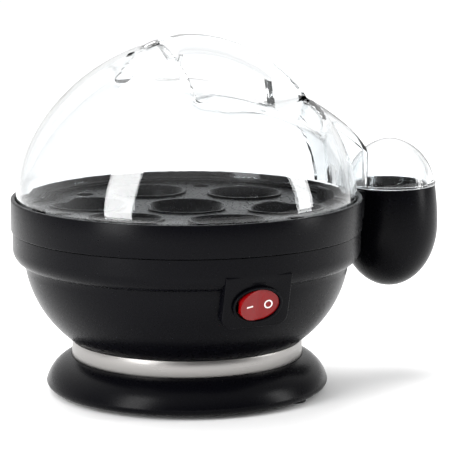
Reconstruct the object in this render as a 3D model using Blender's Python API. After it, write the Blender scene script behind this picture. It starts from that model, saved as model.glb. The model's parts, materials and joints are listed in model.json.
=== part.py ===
"""Egg cooker with a clear domed lid, a clip-on measuring cup and a rocker switch, modelled at rest.

All sizes are in metres and all heights are from the floor. +X points from the body to the cup
holder, -Y to the switch at the front, and +Z up.
"""

import math

import bmesh
import bpy
from mathutils import Vector

# Fits and walls
GAP = 0.0003  # kept between pieces that touch
PLAY = 0.0004  # between pieces that lift off or turn
HOUSING_WALL = 0.0022
CLEAR_WALL = 0.0020
SHEET_WALL = 0.0010  # pressed metal
OVERSHOOT = 0.0050  # how far a cutter runs past the face it opens
BITE = 0.0005  # how far two shapes of one piece reach into each other
EDGE_ROUND = 0.0006

# Feet and flared base
PAD_HEIGHT = 0.0022
PAD_RADIUS = 0.0070
PAD_CIRCLE = 0.0610
PAD_ANGLES = (58, 170, 307)
BASE_RADIUS = 0.0724
BASE_HEIGHT = 0.0162
BASE_EDGE_HEIGHT = 0.0028  # from its underside up to the widest point
BASE_UNDERCUT = 0.0020
COVER_THICKNESS = 0.0020
COVER_SCREW_HEAD_RADIUS = 0.0030

# Neck with its steel band
NECK_RADIUS = 0.0571
STEEL_THICKNESS = 0.0018
STEEL_SHOWN = 0.0085
STEEL_HIDDEN = 0.0012
NECK_DEPTH = 0.0135  # how far the neck reaches below the bowl's shoulder

# Bowl and its thicker upper band
BOWL_HEIGHT = 0.0378
LOWER_BAND_HEIGHT = 0.0183
LOWER_BAND_ROUND = 0.0080
BAND_RADIUS = 0.0897
BAND_STEP = 0.0007  # the lower band stands back from the ring above it
BOWL_STEP = 0.0063  # the bowl's top stands back from the lower band
LOCATING_LIP = 0.0030
BAND_FOOT_WIDTH = 0.0007  # flat under the lower band, outside the bowl
BAND_FOOT_HEIGHT = 0.0017
BAND_INSIDE_HEIGHT = 0.0060  # above the bowl's top, where the band's inner wall starts

# Upper ring
RING_HEIGHT = 0.0167
RING_WALL = 0.0023
LID_SEAT_DEPTH = 0.0026
TRAY_SEAT_DEPTH = 0.0066
TRAY_SEAT_WIDTH = 0.0044
LID_SEAT_WIDTH = 0.0050
RIM_CHAMFER_WIDTH = 0.0008
RIM_CHAMFER_HEIGHT = 0.0010

# Clear lid: a dome with a handle bar over two finger recesses, and a nose over the holder's neck
DOME_HEIGHT = 0.0810
DOME_POWER = 1.8  # 2 is an ellipse, less is straighter-sided
LID_RIM_DROP = 0.0022  # how far the rim reaches below the dome's widest level
HANDLE_LEFT = -0.0240
HANDLE_WIDTH = 0.0100
HANDLE_PROUD = 0.0020
HANDLE_DEPTH = 0.0105
WINDOW_LEFT = -0.0037
WEB_RIGHT = 0.0192  # from the window's right end to the bar's
RECESS_DEPTH = 0.0205
RECESS_SAG = 0.0179  # the floor's fall from the window's left end to its right end
RECESS_SLOPE = 0.0090  # fall of each recess floor on its way out to the front or back
RECESS_SPREAD = 0.0220  # the foot of its left slope moves left on its way out
RECESS_LEFT_TOP = 0.0030  # its left edge, right of the bar's left end
RECESS_STEPS = 8
BAR_STEPS = 10
WINDOW_STEPS = 5
WEB_LEFT = 0.0060  # the bar's web reaches this far under the left slope
VENT_RADIUS = 0.0020
VENT_OFFSET = 0.0300
NOSE_HALF_WIDTH = 0.0200
NOSE_INSET = 0.0210  # from the lid's edge in to where its ridge leaves the dome
NOSE_OVERLAP = 0.0120  # its ridge goes on this far inside the dome
NOSE_STEPS = 6
NOSE_REACH = 0.0237  # from the holder's axis back to its outer end
NOSE_END_DROP = 0.0520  # its ridge at the outer end, below the dome's top
NOSE_ARCH = 0.0082
NOSE_LIFT = 0.0012  # above the ring's rim
NOSE_CLEARANCE = 0.0042  # round the cup holder

# Egg tray
SEAT_COUNT = 6  # round the middle one
SEAT_CIRCLE = 0.0510
SEAT_TOP_RADIUS = 0.0185
SEAT_FOOT_RADIUS = 0.0135
SEAT_DEPTH = 0.0080
TRAY_WALL = 0.0016
STEAM_HOLE_RADIUS = 0.0045
STEAM_HOLE_CIRCLE = 0.0670
TAB_WIDTH = 0.0160
TAB_HEIGHT = 0.0045
TAB_THICKNESS = 0.0019
TRAY_LIP = 0.0012
COLLAR_RISE = 0.0010

# Heating plate, with the parts below it
PLATE_DEPTH = 0.0170
PLATE_FLAT_RADIUS = 0.0460
PLATE_RIM_WIDTH = 0.0092
GASKET_THICKNESS = 0.0012
SHIELD_DEPTH = 0.0300
SHIELD_FLAT_RADIUS = 0.0440
ELEMENT_CIRCLE = 0.0340
ELEMENT_RADIUS = 0.0033
ELEMENT_GAP_ANGLE = 50
ELEMENT_STEPS = 12
COLD_PIN_RADIUS = 0.0016
COLD_PIN_LENGTH = 0.0050
THERMOSTAT_RADIUS = 0.0080
THERMOSTAT_HEIGHT = 0.0060
THERMOSTAT_BLADE_SPREAD = 0.0040
THERMOSTAT_BLADE_LENGTH = 0.0060
BLADE_HALF_WIDTH = 0.0012
BLADE_HALF_THICKNESS = 0.0004
PLATE_SCREW_ANGLES = (30, 150, 270)
PLATE_SHOULDER = 0.0010
PLATE_OVERHANG = 0.0008  # past the tray's opening, under the ring
SHIELD_HOLE_RADIUS = 0.0160
SHIELD_ROUND_WIDTH = 0.0080
SHIELD_ROUND_HEIGHT = 0.0015
THERMAL_FUSE_RADIUS = 0.0020
THERMAL_FUSE_HALF_LENGTH = 0.0080
THERMAL_FUSE_Y = -0.0180

# Cup holder, cup and egg piercer
HOLDER_RADIUS = 0.0257
HOLDER_GAP = 0.0018
HOLDER_WALL = 0.0018
HOLDER_BELLY_DEPTH = 0.0333  # from its widest level down to its tip
HOLDER_UPPER_HEIGHT = 0.0210
HOLDER_UPPER_CURVE = 0.0610
HOLDER_STEPS = 7
HOLLOW_DEPTH_SHARE = 0.72  # of the belly, the rest is solid
HOLDER_DROP = 0.0015  # its rim, below the ring's rim
NECK_HALF_WIDTH = 0.0130
NECK_HEIGHT = 0.0150
NECK_REACH_SHARE = 0.80  # of the holder's radius, where the neck ends inside its wall
HOLDER_SCREW_LENGTH = 0.0075
HOLDER_SCREW_HEAD = (0.0020, 0.0014)  # radius and height
CUP_STEP = 0.0021  # the cup stands back from the holder's widest level
CUP_HEIGHT = 0.0244
CUP_WALL = 0.0016
CUP_FLANGE = 0.0009
CUP_FLANGE_THICKNESS = 0.0013
CUP_SKIRT = 0.0045
PIERCER_BASE_RADIUS = 0.0075
PIERCER_BASE_HEIGHT = 0.0060
PIN_RADIUS = 0.0007
PIN_LENGTH = 0.0110
PIN_POINT = 0.0030
PIN_SOCKET_DEPTH = 0.0020

# Rocker switch on its flat panel
PANEL_WIDTH = 0.0350
PANEL_HEIGHT = 0.0262
PANEL_TILT = 14  # its face leans back towards the bottom
PANEL_ROUND = 0.0060
PANEL_DEPTH = 0.0120
SWITCH_DROP = 0.0138  # the rocker's middle, below the panel's top
ROCKER_HALF_WIDTH = 0.0110
ROCKER_HALF_HEIGHT = 0.0079
ROCKER_ANGLE = 9  # from upright to either position
ROCKER_DEPTH = 0.0040
PIVOT_DEPTH = 0.0012
BEZEL_WIDTH = 0.0005
BEZEL_THICKNESS = 0.0014
SWITCH_DEPTH = 0.0130
LAMP_RADIUS = 0.0014
LAMP_HALF_LENGTH = 0.0040
SWITCH_BLADE_SPREAD = 0.0065
SWITCH_BLADE_LENGTH = 0.0070
SWITCH_WALL = 0.0007
SWITCH_FLOOR = 0.0012
ROCKER_VALLEY = 0.0010  # stands proud of the panel
ROCKER_FOOT_HALF_WIDTH = 0.0030
SWITCH_BLADE_HALF_HEIGHT = 0.0024

# Mains entry at the back
GLAND_DROP = 0.0153  # its axis, below the bowl's top
GLAND_RADIUS = 0.0050
GLAND_FLANGE = 0.0022
GLAND_FLANGE_THICKNESS = 0.0018
GLAND_STEM = 0.0060  # stands out past the boss
MAINS_BOSS_RADIUS = 0.0105
MAINS_BOSS_LENGTH = 0.0100
MAINS_BOSS_SET_BACK = 0.0010  # from the bowl's widest radius
CORD_HOLE_RADIUS = 0.0033
BLOCK_SIZE = (0.0240, 0.0120, 0.0100)
BLOCK_Y = 0.0240
TERMINAL_SPREAD = 0.0080
TERMINAL_WELL = 0.0040
TERMINAL_HEAD = (0.0018, 0.0012)  # radius and height
TERMINAL_SCREW_LENGTH = 0.0020
CLAMP_Y = 0.0380
CLAMP_SCREW_SPREAD = 0.0080
CLAMP_HEIGHT = 0.0060
CLAMP_END = 0.0035  # past each screw's middle
CLAMP_HALF_WIDTH = 0.0030
WIRE_RADIUS = 0.0010

# Screws
SCREW_RADIUS = 0.0012
SCREW_HEAD_RADIUS = 0.0024
SCREW_HEAD_HEIGHT = 0.0017
SCREW_HOLE = SCREW_RADIUS + GAP
BASE_SCREW_CIRCLE = 0.0480
BASE_SCREW_ANGLES = (90, 210, 330)
BOSS_RADIUS = 0.0040
BOSS_HEIGHT = 0.0100

# Facets
SHELL_SIDES = 36
CUP_SIDES = 24
BOSS_SIDES = 20
SMALL_SIDES = 16
TINY_SIDES = 10
SCREW_SIDES = 8

# Heights and places that follow from the sizes above
BASE_Z = PAD_HEIGHT + GAP
BASE_TOP_Z = BASE_Z + BASE_HEIGHT
SHOULDER_Z = BASE_TOP_Z + STEEL_SHOWN + GAP
NECK_FLOOR_Z = SHOULDER_Z - NECK_DEPTH
BOWL_TOP_Z = SHOULDER_Z + BOWL_HEIGHT
SEAM_Z = BOWL_TOP_Z + LOWER_BAND_HEIGHT
RIM_Z = SEAM_Z + RING_HEIGHT
LID_SEAT_Z = RIM_Z - LID_SEAT_DEPTH
TRAY_SEAT_Z = RIM_Z - TRAY_SEAT_DEPTH
RING_SHELF_Z = TRAY_SEAT_Z - RING_WALL
STEEL_RADIUS = NECK_RADIUS + GAP + STEEL_THICKNESS
LOWER_BAND_RADIUS = BAND_RADIUS - BAND_STEP
BOWL_RADIUS = LOWER_BAND_RADIUS - BOWL_STEP
LID_SEAT_RADIUS = BAND_RADIUS - RING_WALL
LID_RADIUS = LID_SEAT_RADIUS - PLAY
TRAY_OPENING_RADIUS = LID_SEAT_RADIUS - LID_SEAT_WIDTH
SHELF_RADIUS = TRAY_OPENING_RADIUS - TRAY_SEAT_WIDTH
GLAND_HEIGHT = BOWL_TOP_Z - GLAND_DROP
DOME_Z = LID_SEAT_Z + GAP + LID_RIM_DROP
DOME_TOP_Z = DOME_Z + DOME_HEIGHT
GASKET_Z = RING_SHELF_Z - GAP - GASKET_THICKNESS
PLATE_RIM_Z = GASKET_Z - GAP
PLATE_FLOOR_Z = PLATE_RIM_Z - PLATE_DEPTH
PLATE_RADIUS = TRAY_OPENING_RADIUS + PLATE_OVERHANG
PLATE_MOUTH_RADIUS = PLATE_RADIUS - PLATE_RIM_WIDTH
SHIELD_RIM_Z = PLATE_RIM_Z - SHEET_WALL - GAP
SHIELD_FLOOR_Z = SHIELD_RIM_Z - SHIELD_DEPTH
PLATE_SCREW_CIRCLE = PLATE_RADIUS - SCREW_HOLE - PLATE_OVERHANG
HOLDER_X = BAND_RADIUS + HOLDER_GAP + HOLDER_RADIUS
HOLDER_RIM_Z = RIM_Z - HOLDER_DROP
CUP_RADIUS = HOLDER_RADIUS - CUP_STEP
NOSE_ROOT = LID_RADIUS - NOSE_INSET
NOSE_END = HOLDER_X - NOSE_REACH
HANDLE_RIGHT = NOSE_ROOT
WINDOW_RIGHT = HANDLE_RIGHT - WEB_RIGHT
HOLDER_WIDEST_Z = HOLDER_RIM_Z - HOLDER_UPPER_HEIGHT
PANEL_TOP_Z = BOWL_TOP_Z + LOWER_BAND_ROUND
PANEL_TOP_Y = GAP * 2 - LOWER_BAND_RADIUS
BOSS_FACE_Y = BOWL_RADIUS - MAINS_BOSS_SET_BACK
BOSS_INSIDE_Y = BOSS_FACE_Y - MAINS_BOSS_LENGTH
AXIS_X = (BAND_RADIUS - HOLDER_X - HOLDER_RADIUS) / 2  # puts the footprint's middle at X = 0


def clear_scene():
    for item in list(bpy.data.objects):
        bpy.data.objects.remove(item, do_unlink=True)


def material(name, colour, roughness, metallic=0.0, clear=0.0):
    made = bpy.data.materials.new(name)
    made.use_nodes = True
    shader = made.node_tree.nodes["Principled BSDF"]
    shader.inputs["Base Color"].default_value = (*colour, 1.0)
    shader.inputs["Roughness"].default_value = roughness
    shader.inputs["Metallic"].default_value = metallic
    shader.inputs["Transmission Weight"].default_value = clear
    return made


def reference(name, at, parent=None):
    empty = bpy.data.objects.new(name, None)
    empty.location = at
    empty.parent = parent
    bpy.context.scene.collection.objects.link(empty)
    return empty


# Outlines: lists of (radius, height) points


def bulged(start, end, bulge, steps):
    """An arc from start to end. Its middle stands off the chord, to the left, by bulge times the chord."""
    a = Vector(start)
    b = Vector(end)
    chord = b - a
    left = Vector((-chord.y, chord.x))
    half_angle = 2 * math.atan(2 * bulge)
    centre = (a + b) / 2 - left / (2 * math.tan(half_angle))
    points = []
    for step in range(steps + 1):
        turn = -half_angle * 2 * step / steps
        spoke = a - centre
        cos, sin = math.cos(turn), math.sin(turn)
        points.append((centre.x + spoke.x * cos - spoke.y * sin, centre.y + spoke.x * sin + spoke.y * cos))
    return points


def dome(radius, base, height, power, steps):
    """A quarter of a superellipse, from its widest point up to its top on the axis."""
    points = []
    for step in range(steps + 1):
        angle = math.radians(90 * step / steps)
        across = max(math.cos(angle), 0.0) ** (2 / power)
        up = math.sin(angle) ** (2 / power)
        points.append((radius * across if step < steps else 0.0, base + height * up))
    return points


def beside(path, distance):
    """The path moved sideways, to the right of its travel, with mitred corners."""
    moved = []
    for index, point in enumerate(path):
        here = Vector(point)
        normals = []
        if index > 0:
            along = (here - Vector(path[index - 1])).normalized()
            normals.append(Vector((along.y, -along.x)))
        if index < len(path) - 1:
            along = (Vector(path[index + 1]) - here).normalized()
            normals.append(Vector((along.y, -along.x)))
        middle = sum(normals, Vector((0.0, 0.0))).normalized()
        moved.append(tuple(here + middle * distance / middle.dot(normals[0])))
    return moved


def on_circle(radius, degrees, height=0.0):
    angle = math.radians(degrees)
    return Vector((radius * math.cos(angle), radius * math.sin(angle), height))


# Solids


def solid(name, mesh_maker, finish, parent, at=(0, 0, 0), turn=(0, 0, 0)):
    """Makes an object from what mesh_maker puts in a bmesh."""
    shape = bmesh.new()
    mesh_maker(shape)
    bmesh.ops.remove_doubles(shape, verts=shape.verts, dist=1e-6)
    bmesh.ops.recalc_face_normals(shape, faces=shape.faces)
    mesh = bpy.data.meshes.new(name)
    shape.to_mesh(mesh)
    shape.free()
    mesh.shade_smooth()
    mesh.set_sharp_from_angle(angle=math.radians(35))
    if finish:
        mesh.materials.append(finish)
    made = bpy.data.objects.new(name, mesh)
    made.location = at
    made.rotation_euler = turn
    made.parent = parent
    bpy.context.scene.collection.objects.link(made)
    return made


def spin_outline(shape, outline, sides, middle=(0, 0)):
    verts = [shape.verts.new((middle[0] + r, middle[1], z)) for r, z in outline]
    edges = [shape.edges.new((a, b)) for a, b in zip(verts, verts[1:] + verts[:1])]
    bmesh.ops.spin(
        shape,
        geom=verts + edges,
        cent=(middle[0], middle[1], 0),
        axis=(0, 0, 1),
        angle=2 * math.pi,
        steps=sides,
        use_merge=True,
    )


def without_axis_edge(shape):
    """Merges the points that a turned outline left on the axis."""
    bmesh.ops.remove_doubles(shape, verts=shape.verts, dist=1e-6)
    bmesh.ops.dissolve_degenerate(shape, edges=shape.edges, dist=1e-6)


def turned(name, outline, finish, parent, sides=SHELL_SIDES, at=(0, 0, 0), turn=(0, 0, 0)):
    def make(shape):
        spin_outline(shape, outline, sides)
        without_axis_edge(shape)

    return solid(name, make, finish, parent, at, turn)


def extrude_outline(shape, outline, axis, low, high):
    """An outline in the plane across axis (0 for X, 1 for Y, 2 for Z), extruded from low to high."""
    verts = []
    for a, b in outline:
        place = [a, b]
        place.insert(axis, low)
        verts.append(shape.verts.new(place))
    face = shape.faces.new(verts)
    grown = bmesh.ops.extrude_face_region(shape, geom=[face])["geom"]
    shift = [0, 0, 0]
    shift[axis] = high - low
    bmesh.ops.translate(shape, vec=shift, verts=[v for v in grown if isinstance(v, bmesh.types.BMVert)])


def extruded(name, outline, axis, low, high, finish, parent, at=(0, 0, 0), turn=(0, 0, 0)):
    def make(shape):
        extrude_outline(shape, outline, axis, low, high)

    return solid(name, make, finish, parent, at, turn)


def lofted(name, sections, finish, parent):
    """Closed sections with the same number of points each, joined in order, with both ends filled."""

    def make(shape):
        rings = [[shape.verts.new(point) for point in section] for section in sections]
        for first, second in zip(rings, rings[1:]):
            for index in range(len(first)):
                after = (index + 1) % len(first)
                shape.faces.new((first[index], first[after], second[after], second[index]))
        shape.faces.new(rings[0])
        shape.faces.new(rings[-1])
        bmesh.ops.triangulate(shape, faces=shape.faces)

    return solid(name, make, finish, parent)


def rod(name, radius, start, end, finish, parent, sides=TINY_SIDES):
    """A round bar between two points."""
    a = Vector(start)
    b = Vector(end)
    turn = (b - a).to_track_quat("Z", "Y").to_euler()
    outline = [(0, 0), (radius, 0), (radius, (b - a).length), (0, (b - a).length)]
    return turned(name, outline, finish, parent, sides, a, turn)


def box(name, low, high, finish, parent, edge=0.0):
    outline = [(low[0], low[1]), (high[0], low[1]), (high[0], high[1]), (low[0], high[1])]
    made = extruded(name, outline, 2, low[2], high[2], finish, parent)
    if edge:
        bevel = made.modifiers.new("rounded edges", "BEVEL")
        bevel.width = edge
        bevel.segments = 1
    return made


def boolean(target, other, operation, solver="EXACT"):
    other.hide_render = True
    other.display_type = "WIRE"
    step = target.modifiers.new(other.name, "BOOLEAN")
    step.operation = operation
    step.solver = solver
    step.object = other


def cut(target, *cutters, solver="EXACT"):
    for cutter in cutters:
        boolean(target, cutter, "DIFFERENCE", solver)


def fuse(target, *others, solver="EXACT"):
    for other in others:
        boolean(target, other, "UNION", solver)


def screw(name, seat, direction, length, finish, parent, head=(SCREW_HEAD_RADIUS, SCREW_HEAD_HEIGHT)):
    """A pan-head screw: seat is where its head bears, and direction is the way its shank points."""
    wide, high = head
    outline = [(0, -high), (wide * 0.7, -high), (wide, -high * 0.5), (wide, 0)]
    outline += [(SCREW_RADIUS, 0), (SCREW_RADIUS, length - SCREW_RADIUS), (0, length)]
    turn = Vector(direction).to_track_quat("Z", "Y").to_euler()
    return turned(name, outline, finish, parent, SCREW_SIDES, seat, turn)


def wire(name, route, radius, finish, parent, steps=3):
    """A round wire along a smooth curve through the route's points."""
    ends = [Vector(point) for point in route]
    padded = [2 * ends[0] - ends[1]] + ends + [2 * ends[-1] - ends[-2]]
    points = []
    for p0, p1, p2, p3 in zip(padded, padded[1:], padded[2:], padded[3:]):
        for step in range(steps):
            t = step / steps
            square = (2 * p0 - 5 * p1 + 4 * p2 - p3) * t**2
            cube = (3 * p1 - p0 - 3 * p2 + p3) * t**3
            points.append((2 * p1 + (p2 - p0) * t + square + cube) / 2)
    points.append(ends[-1])
    curve = bpy.data.curves.new(name, "CURVE")
    curve.dimensions = "3D"
    curve.bevel_depth = radius
    curve.bevel_resolution = 1
    curve.use_fill_caps = True
    spline = curve.splines.new("POLY")
    spline.points.add(len(points) - 1)
    for target, point in zip(spline.points, points):
        target.co = (*point, 1.0)
    curve.materials.append(finish)
    made = bpy.data.objects.new(name, curve)
    made.parent = parent
    bpy.context.scene.collection.objects.link(made)
    return made


def oval(half_width, half_height, sides=CUP_SIDES):
    turns = [2 * math.pi * index / sides for index in range(sides)]
    return [(half_width * math.cos(turn), half_height * math.sin(turn)) for turn in turns]


# Base


def make_base(axis, finish):
    """Flared foot, flat cover, three rubber feet and the three long screws that hold the base on."""
    flare = bulged((STEEL_RADIUS + GAP, BASE_TOP_Z), (BASE_RADIUS, BASE_Z + BASE_EDGE_HEIGHT), 0.137, 4)
    edge = bulged(flare[-1], (BASE_RADIUS - BASE_UNDERCUT, BASE_Z), 0.12, 2)
    steel_foot_z = BASE_TOP_Z - STEEL_HIDDEN - GAP
    flange_top = NECK_FLOOR_Z - GAP
    flange_inside = BASE_SCREW_CIRCLE - BOSS_RADIUS - SHEET_WALL
    wall = beside(flare + edge[1:], HOUSING_WALL)
    flange_under = flange_top - HOUSING_WALL
    inside = [point for point in reversed(wall[1:-1]) if BASE_Z + GAP / 2 < point[1] < flange_under]
    above = [point for point in wall if point[1] >= flange_under]
    inside.append((above[-1][0], flange_under))
    groove = [
        (NECK_RADIUS + GAP, flange_top),
        (NECK_RADIUS + GAP, steel_foot_z),
        (STEEL_RADIUS + GAP, steel_foot_z),
    ]
    outline = flare + edge[1:] + [(BASE_RADIUS - BASE_UNDERCUT - HOUSING_WALL, BASE_Z)] + inside
    outline += [(flange_inside, flange_under), (flange_inside, flange_top)] + groove
    foot = turned("base_foot", outline, finish["black"], axis)

    cover_radius = BASE_RADIUS - BASE_UNDERCUT - HOUSING_WALL - GAP
    cover_top = BASE_Z + COVER_THICKNESS
    cover = turned(
        "base_cover",
        [(0, BASE_Z), (cover_radius, BASE_Z), (cover_radius, cover_top), (0, cover_top)],
        finish["matte"],
        axis,
    )
    head = (COVER_SCREW_HEAD_RADIUS, SCREW_HEAD_HEIGHT)
    head_seat = BASE_Z + GAP + SCREW_HEAD_HEIGHT
    post_top = flange_top - HOUSING_WALL - GAP
    for index, degrees in enumerate(BASE_SCREW_ANGLES, start=1):
        spot = on_circle(BASE_SCREW_CIRCLE, degrees)
        up = Vector((0, 0, 1))
        post_low = spot + up * (BASE_Z + BITE)
        post = rod(f"cover_post_{index}", BOSS_RADIUS, post_low, spot + up * post_top, None, axis)
        fuse(cover, post, solver="MANIFOLD")
        recess = rod(f"head_recess_{index}", head[0] + PLAY, spot, spot + up * (head_seat + GAP), None, axis)
        hole_top = spot + up * (flange_top + OVERSHOOT)
        hole = rod(f"screw_passage_{index}", SCREW_HOLE, spot, hole_top, None, axis)
        cut(cover, recess, hole, solver="MANIFOLD")
        cut(foot, hole)
        length = NECK_FLOOR_Z + BOSS_HEIGHT - 3 * GAP - head_seat
        screw(f"base_screw_{index}", spot + up * head_seat, up, length, finish["steel"], axis, head)

    pad = [(0, 0), (PAD_RADIUS - EDGE_ROUND, 0), (PAD_RADIUS, EDGE_ROUND)]
    pad += [(PAD_RADIUS, PAD_HEIGHT), (0, PAD_HEIGHT)]
    for index, degrees in enumerate(PAD_ANGLES, start=1):
        place = on_circle(PAD_CIRCLE, degrees)
        turned(f"rubber_foot_{index}", pad, finish["rubber"], axis, SMALL_SIDES, place)

    steel = [
        (NECK_RADIUS + GAP, BASE_TOP_Z - STEEL_HIDDEN),
        (STEEL_RADIUS, BASE_TOP_Z - STEEL_HIDDEN),
        (STEEL_RADIUS, SHOULDER_Z - GAP),
        (NECK_RADIUS + GAP, SHOULDER_Z - GAP),
    ]
    turned("steel_band", steel, finish["steel"], axis)


# Housing


def make_bowl(axis, panel, finish):
    """The bowl with its lower band, neck and floor, the switch panel and the mains boss."""
    lip_radius = LID_SEAT_RADIUS - GAP
    band_foot = (BOWL_RADIUS + BAND_FOOT_WIDTH, BOWL_TOP_Z + BAND_FOOT_HEIGHT)
    outside = [(LOWER_BAND_RADIUS, SEAM_Z - GAP / 2)]
    outside += bulged((LOWER_BAND_RADIUS, band_foot[1] + LOWER_BAND_ROUND), band_foot, 0.16, 3)
    outside += bulged((BOWL_RADIUS, BOWL_TOP_Z), (STEEL_RADIUS, SHOULDER_Z), 0.10, 6)
    outside += [(NECK_RADIUS, SHOULDER_Z), (NECK_RADIUS, NECK_FLOOR_Z)]
    neck_inside = NECK_RADIUS - HOUSING_WALL
    floor_top = NECK_FLOOR_Z + HOUSING_WALL
    bowl_wall = beside(bulged((BOWL_RADIUS, BOWL_TOP_Z), (STEEL_RADIUS, SHOULDER_Z), 0.10, 4), HOUSING_WALL)
    inside = [(0, NECK_FLOOR_Z), (0, floor_top), (neck_inside, floor_top), (neck_inside, SHOULDER_Z + 0.0015)]
    inside += list(reversed(bowl_wall[:-1]))
    inside += [
        (lip_radius - HOUSING_WALL, BOWL_TOP_Z + BAND_INSIDE_HEIGHT),
        (lip_radius - HOUSING_WALL, SEAM_Z + LOCATING_LIP),
        (lip_radius, SEAM_Z + LOCATING_LIP),
        (lip_radius, SEAM_Z - GAP / 2),
    ]
    bowl = turned("housing_bowl", outside + inside, finish["black"], axis)

    half = PANEL_WIDTH / 2
    corner = PANEL_ROUND
    depth = PANEL_DEPTH
    panel_outline = [(half, 2 * BITE), (-half, 2 * BITE)]
    panel_outline += bulged((-half, corner - PANEL_HEIGHT), (corner - half, -PANEL_HEIGHT), -0.207, 3)
    panel_outline += bulged((half - corner, -PANEL_HEIGHT), (half, corner - PANEL_HEIGHT), -0.207, 3)
    block = extruded("panel_block", panel_outline, 1, 0.0, depth, None, panel)
    inner_half = half - HOUSING_WALL
    inner_low = HOUSING_WALL - PANEL_HEIGHT
    inner_high = -BEZEL_THICKNESS
    hollow_outline = [(inner_half, inner_high), (-inner_half, inner_high)]
    hollow_outline += [(-inner_half, inner_low), (inner_half, inner_low)]
    hollow = extruded("panel_hollow", hollow_outline, 1, HOUSING_WALL, depth + 2 * OVERSHOOT, None, panel)
    frame_outline = [(x, z - SWITCH_DROP) for x, z in switch_body_outline(GAP)]
    switch_hole = extruded("switch_hole", frame_outline, 1, -OVERSHOOT, depth, None, panel)
    fuse(bowl, block, solver="MANIFOLD")
    cut(bowl, hollow, switch_hole, solver="MANIFOLD")

    inner = (0, BOSS_INSIDE_Y, GLAND_HEIGHT)
    outer = (0, BOSS_FACE_Y, GLAND_HEIGHT)
    boss = rod("mains_boss", MAINS_BOSS_RADIUS, inner, outer, None, axis, BOSS_SIDES)
    hole_start = (0, BOSS_INSIDE_Y - 2 * OVERSHOOT, GLAND_HEIGHT)
    hole_end = (0, BOSS_FACE_Y + 2 * OVERSHOOT, GLAND_HEIGHT)
    boss_hole = rod("mains_hole", GLAND_RADIUS + GAP, hole_start, hole_end, None, axis, SMALL_SIDES)
    fuse(bowl, boss, solver="MANIFOLD")
    cut(bowl, boss_hole, solver="MANIFOLD")

    for index, degrees in enumerate(BASE_SCREW_ANGLES, start=1):
        foot = on_circle(BASE_SCREW_CIRCLE, degrees, NECK_FLOOR_Z + BITE)
        top = on_circle(BASE_SCREW_CIRCLE, degrees, NECK_FLOOR_Z + BOSS_HEIGHT + HOUSING_WALL)
        below = on_circle(BASE_SCREW_CIRCLE, degrees, NECK_FLOOR_Z - OVERSHOOT)
        stop = on_circle(BASE_SCREW_CIRCLE, degrees, NECK_FLOOR_Z + BOSS_HEIGHT)
        fuse(bowl, rod(f"screw_boss_{index}", BOSS_RADIUS, foot, top, None, axis), solver="MANIFOLD")
        cut(bowl, rod(f"boss_hole_{index}", SCREW_HOLE, below, stop, None, axis), solver="MANIFOLD")
    for index, x in enumerate((-CLAMP_SCREW_SPREAD, CLAMP_SCREW_SPREAD), start=1):
        low = (x, CLAMP_Y, NECK_FLOOR_Z - OVERSHOOT)
        high = (x, CLAMP_Y, NECK_FLOOR_Z + HOUSING_WALL + OVERSHOOT)
        cut(bowl, rod(f"clamp_floor_hole_{index}", SCREW_HOLE, low, high, None, axis), solver="MANIFOLD")


def make_ring(axis, finish):
    """The ring that the lid and the tray sit in, with the holes for its screws."""
    step_inside = TRAY_OPENING_RADIUS + RING_WALL
    seat_under = LID_SEAT_Z - RING_WALL
    outline = [
        (BAND_RADIUS, SEAM_Z + GAP / 2),
        (BAND_RADIUS, RIM_Z - RIM_CHAMFER_HEIGHT),
        (BAND_RADIUS - RIM_CHAMFER_WIDTH, RIM_Z),
        (LID_SEAT_RADIUS, RIM_Z),
        (LID_SEAT_RADIUS, LID_SEAT_Z),
        (TRAY_OPENING_RADIUS, LID_SEAT_Z),
        (TRAY_OPENING_RADIUS, TRAY_SEAT_Z),
        (SHELF_RADIUS, TRAY_SEAT_Z),
        (SHELF_RADIUS, RING_SHELF_Z),
        (step_inside, RING_SHELF_Z),
        (step_inside, seat_under),
        (LID_SEAT_RADIUS, seat_under),
        (LID_SEAT_RADIUS, SEAM_Z + GAP / 2),
    ]
    ring = turned("upper_ring", outline, finish["black"], axis)
    for index, degrees in enumerate(PLATE_SCREW_ANGLES, start=1):
        low = on_circle(PLATE_SCREW_CIRCLE, degrees, SHIELD_RIM_Z - OVERSHOOT)
        high = on_circle(PLATE_SCREW_CIRCLE, degrees, TRAY_SEAT_Z - BITE)
        cut(ring, rod(f"plate_screw_hole_{index}", SCREW_HOLE, low, high, None, axis))
    for index, (y, z) in enumerate(holder_screw_places(), start=1):
        start = (LID_SEAT_RADIUS - OVERSHOOT, y, z)
        end = (BAND_RADIUS + OVERSHOOT, y, z)
        cut(ring, rod(f"holder_screw_hole_{index}", SCREW_HOLE, start, end, None, axis))


# Heating


def thermostat_blade_z():
    """Height of the tips of the thermostat's two blades."""
    return PLATE_FLOOR_Z - SHEET_WALL - GAP - THERMOSTAT_HEIGHT - THERMOSTAT_BLADE_LENGTH


def cold_pin_tip():
    """The lower end of the element's pin on the +X side. The other one mirrors it."""
    end = on_circle(ELEMENT_CIRCLE, 90 - ELEMENT_GAP_ANGLE / 2)
    top = PLATE_FLOOR_Z - SHEET_WALL - 2 * GAP - 2 * ELEMENT_RADIUS
    return end.x, end.y, top - COLD_PIN_LENGTH


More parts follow.
